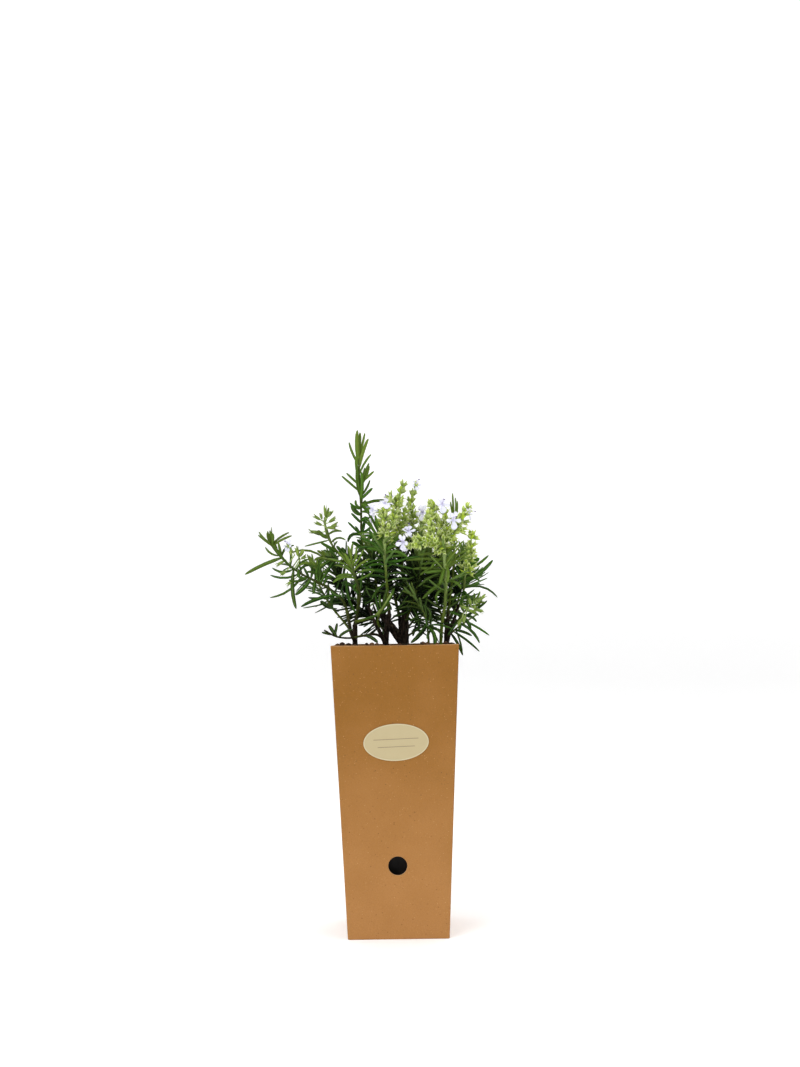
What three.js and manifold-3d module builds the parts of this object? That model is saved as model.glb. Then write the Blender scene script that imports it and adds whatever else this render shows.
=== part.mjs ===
// A flowering rosemary plant in its black nursery pot, inside a tall tapered box of brown board.
// Millimetres, +Z up. The origin is the centre of the box's underside, and the box's front faces -Y.
import * as THREE from "three";
import { mergeVertices } from "three/addons/utils/BufferGeometryUtils.js";
import Module from "manifold-3d";

const wasm = await Module();
wasm.setup();

// ---------------------------------------------------------------- driving dimensions of the holder

const SEAT_GAP = 0.3; // between a piece and the piece that carries it

const BOX = { bottom: 80, top: 100, height: 231, board: 1.5, fold: 1.6, inner_fold: 0.6 };
const FINGER_HOLE = { radius: 7.5, height: 58, sides: 32 };
const LABEL = { width: 51, height: 29, thickness: 0.4, centre: 155, tilt: 2, lift: 0.1, sides: 20 };
const POT = {
  rim: 229, // height of its rim, inside the box
  bottom_slack: 5, // from the pot's wall to the box's wall, at the bottom and at the rim
  rim_slack: 1.2,
  wall: 1.2,
  floor: 1.5,
  corner: 5,
  lip: 0.7,
  lip_height: 6,
};
const DRAIN = { radius: 5, spacing: 40, sides: 10 };
const SOIL = { level: 227.5, relief: 2.2, crumb: 2.4, cells: 9, seed: 71 };
const ROOT = { foot: 213, slack: 0.4, sides: 8 }; // how deep a stem goes, and the hole round it

// ---------------------------------------------------------------- driving dimensions of the plant

const TRUNK_SIDES = 6;
const STEM_SIDES = 4; // young stems of rosemary are square, and their leaves stand on the flats
const STEM_STEP = 11; // length of each straight piece of a stem
const NEEDLE = { width: 2.2, thickness: 1.3, root: 0.45, knee: 0.6, past_axis: 0.3, arch: 1.5 };
const TUFT = { needles: 4, angle: 15, below_tip: 1.2 };
const CLEARANCE = 0.4; // from a needle to anything in another piece
const RIM_CLEARANCE = 1.4; // from a needle to the box and the soil's crumbs
const TRIES = 16;
const SPIKE = { radii: [1.2, 0.7], pitch: 5.8, first: 3.4, angles: [66, 56, 36], sides: 4 };
const CALYX = { length: 6.2, root: 0.5, mouth: 2.0, dip: 1.6, sides: 3 };
const BLOOM = { root: 0.7, throat: 1.7, sides: 4, thickness: 0.9, dish: 1.2, notch: 1.9 };
// The lobes of an open flower: where each stands round the throat, its reach, half width and bend back.
const LOBES = [
  { turn: 28, reach: 6.0, spread: 13, back: 1.2 },
  { turn: 102, reach: 5.5, spread: 10, back: 0.4 },
  { turn: 180, reach: 6.6, spread: 20, back: 2.2 },
  { turn: 258, reach: 5.5, spread: 10, back: 0.4 },
  { turn: 332, reach: 6.0, spread: 13, back: 1.2 },
];
const STAMENS = { turns: [12, -12], rise: 22, bend: 34, length: 8.5, width: 0.8, sunk: 1.4 };
const PLANT_SEED = 20417;

// The woody bases. Each stands in the soil, and its first limb may fork.
const TRUNKS = {
  centre: [
    { radii: [4.3, 3.0], points: [[8, 2, 213], [8, 2, 222], [8, 2, 231], [8.5, 3, 250], [9, 3, 266]] },
    { radii: [3.0, 2.2], points: [[8, 2, 233], [0, 3, 243], [-7, 5, 252], [-13, 8, 261]] },
  ],
  front: [
    {
      radii: [2.6, 2.0],
      points: [[-7, -9, 213], [-7, -9, 222], [-7, -9, 231], [-6, -14, 245], [-4, -18, 255]],
    },
  ],
  left: [
    { radii: [2.5, 2.1], points: [[-32, -8, 213], [-32, -8, 222], [-32, -8, 231], [-32, -9, 247]] },
  ],
  right: [
    { radii: [2.3, 2.0], points: [[42, 0, 213], [42, 0, 222], [42, 0, 231], [43, -3, 250]] },
  ],
  back: [
    { radii: [2.6, 2.1], points: [[6, 32, 213], [6, 32, 222], [6, 32, 231], [5, 34, 250]] },
  ],
};

// The leafy stems. The first `bark` of each is wood of its trunk, and its leaves start `bare` above that.
// A stem without a trunk stands in the soil. Angles and lengths are of needles, from the lowest to the tip.
// Each `reaching` needle is one that stands out from the rest: how far up its stem it grows, and its tip.
const PLAIN_STEM = {
  bark: 9, bare: 8, pitch: 8, angles: [72, 58, 22], lengths: [20, 25, 17], droop: 0.15, reaching: [],
};
const STEMS = [
  {
    name: "tall", trunk: "centre", bark: 20, bare: 12, radii: [1.7, 0.9],
    angles: [52, 40, 14], lengths: [17, 24, 21],
    points: [[-13, 8, 261], [-19, 9, 278], [-24, 8, 300], [-26, 6, 320], [-26, 4, 342], [-27, 3, 365],
      [-27, 2, 386]],
  },
  {
    name: "far_left", trunk: "left", bark: 32, bare: 6, pitch: 8.5, droop: 0.5, radii: [1.8, 0.9],
    points: [[-32, -8, 233], [-35, -15, 241], [-36.5, -21, 251], [-40, -26, 265], [-50, -30, 275],
      [-62, -31, 282], [-75, -30, 289], [-87, -28, 299], [-96, -26, 310], [-99, -25, 318]],
    reaching: [{ at: 0.86, tip: [-118, -30, 289] }, { at: 0.8, tip: [-94, -36, 281] }],
  },
  {
    name: "upper_left", trunk: "left", bark: 12, bare: 14, radii: [1.6, 0.9],
    points: [[-32, -9, 247], [-29, -6, 266], [-32, -6, 287], [-39, -8, 299], [-49, -10, 311],
      [-54, -11, 322], [-55, -11, 334]],
  },
  {
    name: "left_front", trunk: "left", pitch: 7, radii: [1.3, 0.9],
    points: [[-32, -8.7, 243], [-29, -18, 258], [-27, -30, 272], [-30, -42, 284], [-33, -50, 294]],
  },
  {
    name: "left_back", trunk: "left", radii: [1.4, 0.9],
    points: [[-32, -8, 236], [-40, 3, 248], [-50, 12, 260], [-60, 18, 276], [-66, 20, 292]],
  },
  {
    name: "low_front", trunk: "front", bare: 4, angles: [40, 30, 16], lengths: [19, 24, 22],
    radii: [1.2, 0.8],
    points: [[-6.5, -12.5, 241], [-13, -22, 247], [-12, -33, 255], [-7, -40, 263], [-2, -43, 271]],
  },
  {
    name: "low_left", trunk: "front", bark: 34, bare: 1, angles: [65, 55, 25], lengths: [12, 14, 12],
    radii: [1.3, 0.9],
    points: [[-7, -9, 234], [-15, -17, 239], [-26, -25, 238], [-36, -33, 236.5], [-46, -39, 238],
      [-55, -43, 243]],
  },
  {
    name: "centre_front", trunk: "front", bark: 8, bare: 12, pitch: 7.5, radii: [1.7, 1.2],
    angles: [75, 62, 45], lengths: [24, 27, 24],
    points: [[-4, -18, 255], [-5, -24, 268], [-6, -29, 286], [-7, -32, 302], [-7, -33, 314]],
  },
  {
    name: "centre", trunk: "centre", bark: 8, radii: [2.0, 1.3],
    points: [[9, 3, 266], [8, 0, 287], [4, -4, 309]],
  },
  {
    name: "centre_back", trunk: "centre", radii: [1.6, 1.2],
    points: [[9, 3, 254], [15, 9, 270], [17, 9, 290], [17, 5, 313]],
  },
  {
    name: "inner_left", trunk: "centre", pitch: 7.5, radii: [1.4, 0.9],
    points: [[-7, 5, 252], [-12, -3, 268], [-16, -11, 290], [-18, -14, 308]],
  },
  {
    name: "inner_right", trunk: "centre", bare: 6, pitch: 7.5, radii: [1.4, 0.9],
    points: [[8.3, 2.7, 246], [13, -7, 259], [18, -16, 274], [21, -22, 288], [22, -24, 299]],
  },
  {
    name: "right_front", bark: 0, bare: 46, pitch: 7.5, radii: [1.9, 1.3],
    angles: [70, 60, 42], lengths: [24, 28, 24],
    points: [[37, -15, 213], [37, -15, 222], [37, -15, 231], [38, -17, 246], [41, -22, 267],
      [41, -26, 288], [40, -28, 303]],
  },
  {
    name: "right_upright", trunk: "right", bark: 8, bare: 12, pitch: 8.5, radii: [1.5, 0.9],
    angles: [55, 40, 14], lengths: [20, 22, 17],
    points: [[43, -3, 250], [45, -7, 266], [48, -10, 290], [49, -12, 314], [49, -13, 334]],
  },
  {
    name: "far_right", trunk: "right", bare: 6, lengths: [23, 28, 24], radii: [1.4, 1.0],
    points: [[42.3, -1, 239], [50, 2, 254], [56, -2, 271], [58, -8, 288]],
    reaching: [{ at: 0.72, tip: [83, -14, 267] }],
  },
  {
    name: "low_right", trunk: "right", bare: 5, pitch: 7.5, angles: [60, 55, 20], droop: 0.7,
    radii: [1.2, 0.8],
    points: [[42, 0, 234], [46, -10, 242], [55, -19, 255], [63, -25, 264], [68, -28, 267]],
    reaching: [{ at: 0.58, tip: [77, -20, 236] }, { at: 0.4, tip: [58, -32, 228] }],
  },
  {
    name: "low_far_right", trunk: "right", bare: 3, lengths: [24, 26, 22], droop: 1.2, radii: [1.2, 0.8],
    points: [[42, 0, 236], [51, 8, 243], [60, 13, 249], [68, 16, 254]],
    reaching: [{ at: 0.45, tip: [69, 0, 222] }],
  },
  {
    name: "inner_far_right", trunk: "right", bare: 5, radii: [1.3, 0.9],
    points: [[42.6, -2, 244], [37, 4, 258], [32, 5, 276], [30, 4, 297]],
  },
  {
    name: "right_back", trunk: "right", bare: 6, radii: [1.3, 0.9],
    points: [[42.8, -2.6, 248], [51, 11, 262], [57, 19, 280], [59, 22, 300]],
  },
  {
    name: "front_right", bark: 0, bare: 26, pitch: 7.5, lengths: [24, 25, 17], droop: 0.8,
    radii: [1.4, 0.8],
    points: [[27, -27, 213], [27, -27, 222], [27, -27, 231], [26, -30, 244], [23, -35, 256],
      [17, -39, 267]],
  },
  {
    name: "back_upright", trunk: "back", bark: 8, bare: 10, radii: [1.6, 1.2],
    points: [[5, 34, 250], [1, 39, 268], [-4, 45, 288], [-7, 48, 306]],
  },
  {
    name: "back_centre", trunk: "back", radii: [1.5, 1.1],
    points: [[5.5, 33, 243], [13, 27, 260], [19, 27, 282], [22, 28, 304]],
  },
  {
    name: "back_right", trunk: "back", radii: [1.4, 0.9],
    points: [[6, 32, 238], [16, 37, 250], [28, 43, 266], [37, 47, 284], [42, 49, 302]],
  },
  {
    name: "back_left", trunk: "back", radii: [1.5, 0.9],
    points: [[6, 32, 234], [-7, 36, 244], [-22, 42, 255], [-35, 46, 268], [-46, 48, 284], [-52, 48, 300]],
  },
  {
    name: "back_far", trunk: "back", bare: 6, radii: [1.3, 0.9],
    points: [[5.3, 33.4, 246], [8, 46, 257], [12, 58, 267], [16, 67, 280], [18, 71, 294]],
  },
  {
    name: "back_low_right", trunk: "back", bare: 6, droop: 0.8, radii: [1.2, 0.8],
    points: [[6, 32, 234], [19, 42, 242], [31, 52, 249], [43, 60, 256]],
  },
  {
    name: "back_low_left", trunk: "back", bare: 6, droop: 0.6, radii: [1.2, 0.8],
    points: [[6, 32, 240], [-2, 45, 246], [-9, 58, 254], [-15, 69, 265]],
  },
];

// The flower heads. The first spike of each goes on from the end of its stem, and the others fork from it.
const HEADS = [
  { name: "front", stem: "centre_front", spikes: [[[-7, -33, 328], [-5, -33, 341]]] },
  {
    name: "top", stem: "centre",
    spikes: [[[1, -6, 326], [4, -8, 343], [9, -8, 361]]],
  },
  { name: "top_right", stem: "centre_back", spikes: [[[16, 3, 333], [15, 2, 348], [18, 0, 356]]] },
  {
    name: "right", stem: "right_front",
    spikes: [
      [[38, -29, 318], [33, -29, 333], [30, -28, 344]],
      [[40, -28, 305], [32, -37, 311], [22, -42, 311], [14, -45, 308]],
      [[40, -28, 305], [46, -27, 319], [54, -25, 331], [59, -23, 338]],
    ],
  },
  { name: "far_right", stem: "far_right", spikes: [[[62, -11, 303], [63, -12, 319]]] },
  { name: "back", stem: "back_upright", spikes: [[[-9, 50, 322], [-8, 50, 340]]] },
  { name: "back_right", stem: "back_centre", spikes: [[[24, 30, 320], [24, 31, 336]]] },
];

// The open flowers: the head that carries each, and where its throat is.
const FLOWERS = [
  { head: "front", throat: [-18, -38, 337] },
  { head: "front", throat: [-6, -43, 344] },
  { head: "top_right", throat: [24, -3, 360] },
  { head: "top_right", throat: [25, -5, 337] },
  { head: "right", throat: [12, -38, 319] },
  { head: "right", throat: [9, -54, 309] },
  { head: "right", throat: [39, -36, 343] },
  { head: "right", throat: [49, -36, 330] },
  { head: "right", throat: [62, -33, 334] },
  { head: "top", throat: [-3, 2, 350] },
  { head: "back", throat: [-18, 56, 337] },
  { head: "back_right", throat: [32, 38, 333] },
];

// ---------------------------------------------------------------- materials

const BOARD = new THREE.MeshStandardMaterial({ color: 0xb07c45, roughness: 0.85 });
const LABEL_PAPER = new THREE.MeshStandardMaterial({ color: 0xd2c49c, roughness: 0.6 });
const BLACK_PLASTIC = new THREE.MeshStandardMaterial({ color: 0x0d0d0e, roughness: 0.45 });
const EARTH = new THREE.MeshStandardMaterial({ color: 0x2a1c12, roughness: 0.95 });
const BARK = new THREE.MeshStandardMaterial({ color: 0x2b2018, roughness: 0.9 });
const LEAF = new THREE.MeshStandardMaterial({ color: 0x355f25, roughness: 0.5 });
const CALYX_GREEN = new THREE.MeshStandardMaterial({ color: 0x9db04c, roughness: 0.6 });
const LILAC = new THREE.MeshStandardMaterial({ color: 0xdcdcf0, roughness: 0.5 });

// ---------------------------------------------------------------- small tools

const UP = new THREE.Vector3(0, 0, 1);
const vector = (xyz) => new THREE.Vector3(...xyz);
const radians = THREE.MathUtils.degToRad;
const lerp = THREE.MathUtils.lerp;

// A repeatable run of numbers from 0 to 1.
function drawsFrom(seed) {
  let state = seed;
  return () => {
    state = (state * 48271) % 2147483647;
    return state / 2147483647;
  };
}

// A value that passes through three given ones as share goes from 0 to 1.
function blend([start, middle, end], share) {
  return share < 0.5 ? lerp(start, middle, share * 2) : lerp(middle, end, share * 2 - 1);
}

// The part of a direction that is square to an axis, at length 1.
function squareTo(axis, direction) {
  return direction.clone().addScaledVector(axis, -direction.dot(axis)).normalize();
}

// The closed surface through rings of points. Seen from the far end, each ring runs anticlockwise.
// A ring of one point at either end is a tip, or a dimple where the point lies back inside.
function loft(rings) {
  const faces = [];
  let base = 0;
  for (let k = 0; k + 1 < rings.length; k += 1) {
    const here = rings[k].length;
    const there = rings[k + 1].length;
    const above = base + here;
    const count = Math.max(here, there);
    for (let i = 0; i < count; i += 1) {
      const next = (i + 1) % count;
      if (here > 1) faces.push(base + i, base + next, above + (there > 1 ? next : 0));
      if (there > 1) faces.push(base + (here > 1 ? i : 0), above + next, above + i);
    }
    base += here;
  }
  for (let i = 1; i + 1 < rings[0].length; i += 1) faces.push(0, i + 1, i);
  for (let i = 1; i + 1 < rings.at(-1).length; i += 1) faces.push(base, base + i, base + i + 1);
  return new THREE.BufferGeometry().setFromPoints(rings.flat()).setIndex(faces);
}

// A round or many-sided section with a flat towards `across`, as a ring of points for loft().
function roundRing(frame, radius, sides) {
  return Array.from({ length: sides }, (_, i) => {
    const turn = ((i + 0.5) / sides) * 2 * Math.PI;
    return frame.centre
      .clone()
      .addScaledVector(frame.across, radius * Math.cos(turn))
      .addScaledVector(frame.side, radius * Math.sin(turn));
  });
}

function solidOf(geometry) {
  const bare = geometry.clone();
  bare.deleteAttribute("normal");
  bare.deleteAttribute("uv");
  const merged = mergeVertices(bare, 1e-4);
  return new wasm.Manifold(
    new wasm.Mesh({
      numProp: 3,
      vertProperties: new Float32Array(merged.attributes.position.array),
      triVerts: new Uint32Array(merged.index.array),
    }),
  );
}

function geometryOf(solid) {
  const mesh = solid.getMesh();
  const geometry = new THREE.BufferGeometry();
  geometry.setAttribute("position", new THREE.BufferAttribute(mesh.vertProperties, 3));
  geometry.setIndex(new THREE.BufferAttribute(mesh.triVerts, 1));
  geometry.computeVertexNormals();
  return geometry;
}

const SLIVER = 0.06; // what is smaller than this is closed up after a join

const tidied = (solid) => solid.asOriginal().simplify(SLIVER);

function fuse(geometries) {
  return geometryOf(tidied(wasm.Manifold.union(geometries.map(solidOf))));
}

function piece(name, geometry, material) {
  const mesh = new THREE.Mesh(geometry, material);
  mesh.name = name;
  return mesh;
}

// ---------------------------------------------------------------- box and label

// Half the box's outer width at a height.
const boxHalf = (z) => lerp(BOX.bottom, BOX.top, z / BOX.height) / 2;
const BOX_SLOPE = Math.atan((BOX.top - BOX.bottom) / 2 / BOX.height);

// A level square of the given half width, each corner rounded by three points.
function squareRing(half, rounding, z) {
  const ring = [];
  for (let corner = 0; corner < 4; corner += 1) {
    const middle = (corner + 0.5) * (Math.PI / 2);
    const centre = new THREE.Vector3(Math.sign(Math.cos(middle)), Math.sign(Math.sin(middle)), 0);
    centre.multiplyScalar(half - rounding);
    for (const eighth of [-1, 0, 1]) {
      const turn = middle + (eighth * Math.PI) / 4;
      ring.push(new THREE.Vector3(
        centre.x + rounding * Math.cos(turn), centre.y + rounding * Math.sin(turn), z));
    }
  }
  return ring;
}

const ABOVE = 20; // how far a cutter stands out of what it cuts

function boardBox() {
  const inner = (z) => squareRing(boxHalf(z) - BOX.board, BOX.inner_fold, z);
  const outside = loft([0, BOX.height].map((z) => squareRing(boxHalf(z), BOX.fold, z)));
  const inside = loft([BOX.board, BOX.height + ABOVE].map(inner));
  const hole = new THREE.CylinderGeometry(FINGER_HOLE.radius, FINGER_HOLE.radius, ABOVE, FINGER_HOLE.sides);
  hole.translate(0, -boxHalf(FINGER_HOLE.height), FINGER_HOLE.height);
  const solid = solidOf(outside).subtract(solidOf(inside)).subtract(solidOf(hole));
  return piece("cardboard_box", geometryOf(solid), BOARD);
}

function ovalLabel() {
  const oval = new THREE.Shape().absellipse(0, 0, LABEL.width / 2, LABEL.height / 2, 0, 2 * Math.PI);
  const geometry = new THREE.ExtrudeGeometry(oval, {
    depth: LABEL.thickness,
    bevelEnabled: false,
    curveSegments: LABEL.sides,
  });
  const label = piece("oval_label", geometry, LABEL_PAPER);
  label.rotation.set(Math.PI / 2 + BOX_SLOPE, 0, radians(LABEL.tilt));
  label.position.set(0, -boxHalf(LABEL.centre), LABEL.centre);
  label.position.y -= LABEL.lift * Math.cos(BOX_SLOPE);
  label.position.z -= LABEL.lift * Math.sin(BOX_SLOPE);
  return label;
}

// ---------------------------------------------------------------- pot and soil

// Half the pot's outer width at a height, below its lip.
function potHalf(z) {
  const bottom = boxHalf(BOX.board) - BOX.board - POT.bottom_slack;
  const rim = boxHalf(POT.rim) - BOX.board - POT.rim_slack;
  return lerp(bottom, rim, (z - BOX.board) / (POT.rim - BOX.board));
}

// The inside of the pot from one height to another, smaller by `inset` on every side.
function potInside(low, high, inset) {
  return loft([low, high].map((z) => squareRing(potHalf(z) - POT.wall - inset, POT.corner - POT.wall, z)));
}

function nurseryPot() {
  const lip_foot = POT.rim - POT.lip_height;
  const outer = (z, proud) => squareRing(potHalf(z) + proud, POT.corner, z);
  const shell = loft([
    outer(BOX.board, 0),
    outer(lip_foot - POT.lip, 0),
    outer(lip_foot, POT.lip),
    outer(POT.rim, POT.lip),
  ]);
  let pot = solidOf(shell).subtract(solidOf(potInside(BOX.board + POT.floor, POT.rim + ABOVE, 0)));
  for (const x of [-1, 1]) {
    for (const y of [-1, 1]) {
      const drain = new THREE.CylinderGeometry(DRAIN.radius, DRAIN.radius, ABOVE, DRAIN.sides);
      drain.rotateX(Math.PI / 2).translate((x * DRAIN.spacing) / 2, (y * DRAIN.spacing) / 2, 0);
      pot = pot.subtract(solidOf(drain));
    }
  }
  return piece("nursery_pot", geometryOf(pot), BLACK_PLASTIC);
}

// Where a stem goes into the soil, and how thick it is there.
function rootedStems() {
  const limbs = [...Object.values(TRUNKS).map(([first]) => first), ...STEMS.filter((stem) => !stem.trunk)];
  return limbs.map((limb) => ({ x: limb.points[0][0], y: limb.points[0][1], radius: limb.radii[0] }));
}

function pottingSoil() {
  const draw = drawsFrom(SOIL.seed);
  const bottom = BOX.board + POT.floor + SEAT_GAP;
  const block = new THREE.BoxGeometry(
    BOX.top, BOX.top, SOIL.level - bottom + ABOVE, SOIL.cells, SOIL.cells, 1);
  block.translate(0, 0, (SOIL.level + bottom - ABOVE) / 2);
  const position = block.attributes.position;
  const heights = new Map();
  for (let i = 0; i < position.count; i += 1) {
    if (position.getZ(i) < SOIL.level - 1) continue;
    const spot = `${position.getX(i).toFixed(1)} ${position.getY(i).toFixed(1)}`;
    if (!heights.has(spot)) {
      const crumb = draw() > 0.8 ? SOIL.crumb * draw() : 0;
      heights.set(spot, SOIL.level + SOIL.relief * (draw() - 0.5) + crumb);
    }
    position.setZ(i, heights.get(spot));
  }
  const inside = potInside(bottom, SOIL.level + ABOVE, SEAT_GAP);
  let soil = solidOf(block).intersect(solidOf(inside));
  for (const { x, y, radius } of rootedStems()) {
    const hole_radius = (radius + ROOT.slack) / Math.cos(Math.PI / ROOT.sides);
    const hole = new THREE.CylinderGeometry(hole_radius, hole_radius, 2 * ABOVE, ROOT.sides);
    hole.rotateX(Math.PI / 2).translate(x, y, ROOT.foot - SEAT_GAP + ABOVE);
    soil = soil.subtract(solidOf(hole));
  }
  return piece("potting_soil", geometryOf(tidied(soil)), EARTH);
}

// ---------------------------------------------------------------- what is in place already

// Each stem, leaf and petal as straight round lengths, so that new ones are kept clear of other pieces.
const in_place = [];

function occupy(node, lengths) {
  in_place.push(...lengths.map((length) => ({ node, ...length })));
}

// The gap between two round lengths that may taper.
function gapBetween(one, other) {
  const u = one.end.clone().sub(one.start);
  const v = other.end.clone().sub(other.start);
  const w = one.start.clone().sub(other.start);
  const uu = u.dot(u);
  const uv = u.dot(v);
  const vv = v.dot(v);
  const uw = u.dot(w);
  const vw = v.dot(w);
  const clamp = (value) => THREE.MathUtils.clamp(value, 0, 1);
  const cross = uu * vv - uv * uv;
  let s = cross > 1e-9 ? clamp((uv * vw - vv * uw) / cross) : 0;
  const t = clamp((uv * s + vw) / vv);
  s = clamp((uv * t - uw) / uu);
  const apart = w.addScaledVector(u, s).addScaledVector(v, -t).length();
  return apart - lerp(...one.radii, s) - lerp(...other.radii, t);
}

const BROAD = 45; // lengths whose starts are further apart than this can't touch

function clearOfPieces(node, length) {
  return in_place.every((other) =>
    other.node === node
    || other.start.distanceTo(length.start) > BROAD
    || gapBetween(length, other) > CLEARANCE);
}

// Whether a round length keeps above the soil and the rim, or outside the box.
function clearOfHolder(length) {
  return [0, 0.25, 0.5, 0.75, 1].every((share) => {
    const point = length.start.clone().lerp(length.end, share);
    const room = lerp(...length.radii, share) + RIM_CLEARANCE;
    const sideways = Math.max(Math.abs(point.x), Math.abs(point.y));
    return point.z > BOX.height + room || sideways > BOX.top / 2 + room;
  });
}

const fits = (node, lengths) =>
  lengths.every((length) => clearOfHolder(length) && clearOfPieces(node, length));

// ---------------------------------------------------------------- tubes, blades and bells

const pathThrough = (points) => new THREE.CatmullRomCurve3(points.map(vector));

const SIDEWAYS = new THREE.Vector3(0.6, 0.8, -0.5); // no stem runs this way

// The centre and three square directions at a distance along a path.
function frameAt(path, distance) {
  const share = THREE.MathUtils.clamp(distance / path.getLength(), 0, 1);
  const along = path.getTangentAt(share);
  const across = squareTo(along, SIDEWAYS);
  return { centre: path.getPointAt(share), along, across, side: along.clone().cross(across) };
}

// A tapered stem from one distance to another along a path, with the lengths that it occupies.
function tube(path, from, to, radii, sides) {
  const steps = Math.max(1, Math.round((to - from) / STEM_STEP));
  const rings = [];
  const lengths = [];
  let last = null;
  for (let i = 0; i <= steps; i += 1) {
    const distance = lerp(from, to, i / steps);
    const frame = frameAt(path, distance);
    const radius = lerp(...radii, distance / path.getLength());
    rings.push(roundRing(frame, radius, sides));
    if (last) lengths.push({ start: last.centre, end: frame.centre, radii: [last.radius, radius] });
    last = { centre: frame.centre, radius };
  }
  return { geometry: loft(rings), lengths };
}

// A bent three-sided blade, flat on the face that looks along `facing`, with a keel below.
function blade({ start, knee, tip, facing, width, thickness, root }) {
  const along = knee.clone().sub(start).normalize();
  const up = squareTo(along, facing);
  const side = along.clone().cross(up);
  const ring = (centre, size) => {
    const corner = (rise, reach) => centre
      .clone()
      .addScaledVector(up, rise * size * thickness)
      .addScaledVector(side, reach * size * width);
    return [corner(0.35, -0.5), corner(0.35, 0.5), corner(-0.65, 0)];
  };
  const half = (Math.max(width, thickness) / 2) * 1.05;
  return {
    geometry: loft([ring(start, root), ring(knee, 1), [tip]]),
    lengths: [
      { start, end: knee, radii: [half * root, half] },
      { start: knee, end: tip, radii: [half, half * 0.15] },
    ],
  };
}

// A calyx: a small bell with a dimple in its mouth.
function bell(frame, length) {
  const mouth = frame.centre.clone().addScaledVector(frame.along, length);
  const dimple = frame.centre.clone().addScaledVector(frame.along, length - CALYX.dip);
  return {
    geometry: loft([
      roundRing(frame, CALYX.root, CALYX.sides),
      roundRing({ ...frame, centre: mouth }, CALYX.mouth, CALYX.sides),
      [dimple],
    ]),
    lengths: [{ start: frame.centre, end: mouth, radii: [CALYX.root, CALYX.mouth] }],
  };
}

// A direction that leans away from an axis by an angle, on the side given by a turn round it.
function leaning(frame, turn, angle) {
  return frame.along
    .clone()
    .multiplyScalar(Math.cos(angle))
    .addScaledVector(frame.across, Math.sin(angle) * Math.cos(turn))
    .addScaledVector(frame.side, Math.sin(angle) * Math.sin(turn));
}

// ---------------------------------------------------------------- the plant's parts

// A node's solids, gathered until they are fused.
class Growth {
  constructor(name, material) {
    this.name = name;
    this.material = material;
    this.geometries = [];
  }

  add({ geometry, lengths }) {
    this.geometries.push(geometry);
    occupy(this.name, lengths);
  }

  mesh() {
    return piece(this.name, fuse(this.geometries), this.material);
  }
}

// The distance along a path at which it passes its numbered point.
function distanceOf(path, index) {
  const lengths = path.getLengths(40 * (path.points.length - 1));
  return lengths[40 * index];
}

function needle(frame, turn, angle, length, droop, draw) {
  const start_direction = leaning(frame, turn, angle).addScaledVector(UP, -droop * 0.4).normalize();
  const curl = (draw() - 0.4) * 0.5;
  const end_direction = start_direction
    .clone()
    .addScaledVector(frame.along, curl)
    .addScaledVector(UP, -droop * 0.6)
    .normalize();
  const start = frame.centre.clone().addScaledVector(start_direction, -NEEDLE.past_axis);
  const knee = start.clone().addScaledVector(start_direction, length * NEEDLE.knee);
  const tip = knee.clone().addScaledVector(end_direction, length * (1 - NEEDLE.knee));
  return blade({ ...NEEDLE, start, knee, tip, facing: frame.along });
}

// A long needle from part of the way up a path to a given tip.
function reachingNeedle(path, { at, tip }) {
  const { centre, along } = frameAt(path, at * path.getLength());
  const knee = centre.clone().lerp(vector(tip), NEEDLE.knee).addScaledVector(UP, NEEDLE.arch);
  return blade({ ...NEEDLE, start: centre, knee, tip: vector(tip), facing: along });
}

// Adds a needle in the first free direction near the wished one, shorter each time, or none.
function addNeedle(growth, frame, wish, draw) {
  for (let attempt = 0; attempt < TRIES; attempt += 1) {
    const spread = 0.12 + attempt * 0.04;
    const turn = wish.turn + (draw() - 0.5) * 4 * spread;
    const angle = radians(wish.angle) + (draw() - 0.5) * 2 * spread;
    const length = wish.length * (1 - 0.03 * attempt) * lerp(0.88, 1.12, draw());
    const leaf = needle(frame, turn, angle, length, wish.droop, draw);
    if (fits(growth.name, leaf.lengths)) {
      growth.add(leaf);
      return;
    }
  }
}

// Pairs of needles up a stem, each pair square to the last, and a tuft at the tip where nothing flowers.
function addNeedles(growth, { stem, path, foot, end, flowers }, draw) {
  for (const wish of stem.reaching) {
    const leaf = reachingNeedle(path, wish);
    if (fits(growth.name, leaf.lengths)) growth.add(leaf);
  }
  const lowest = foot + stem.bare;
  const pairs = Math.floor((end - lowest - 2) / stem.pitch);
  for (let i = 0; i <= pairs; i += 1) {
    const share = i / Math.max(pairs, 1);
    const frame = frameAt(path, lowest + i * stem.pitch);
    const wish = { angle: blend(stem.angles, share), length: blend(stem.lengths, share), droop: stem.droop };
    for (const side of [0, 1]) {
      addNeedle(growth, frame, { ...wish, turn: (i * Math.PI) / 2 + side * Math.PI }, draw);
    }
  }
  if (flowers) return;
  const tip = frameAt(path, end - TUFT.below_tip);
  for (let i = 0; i < TUFT.needles; i += 1) {
    const turn = (pairs + 1 + 2 * (i / TUFT.needles)) * Math.PI + 0.4;
    addNeedle(growth, tip, { turn, angle: TUFT.angle, length: stem.lengths[2], droop: 0 }, draw);
  }
}

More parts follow.
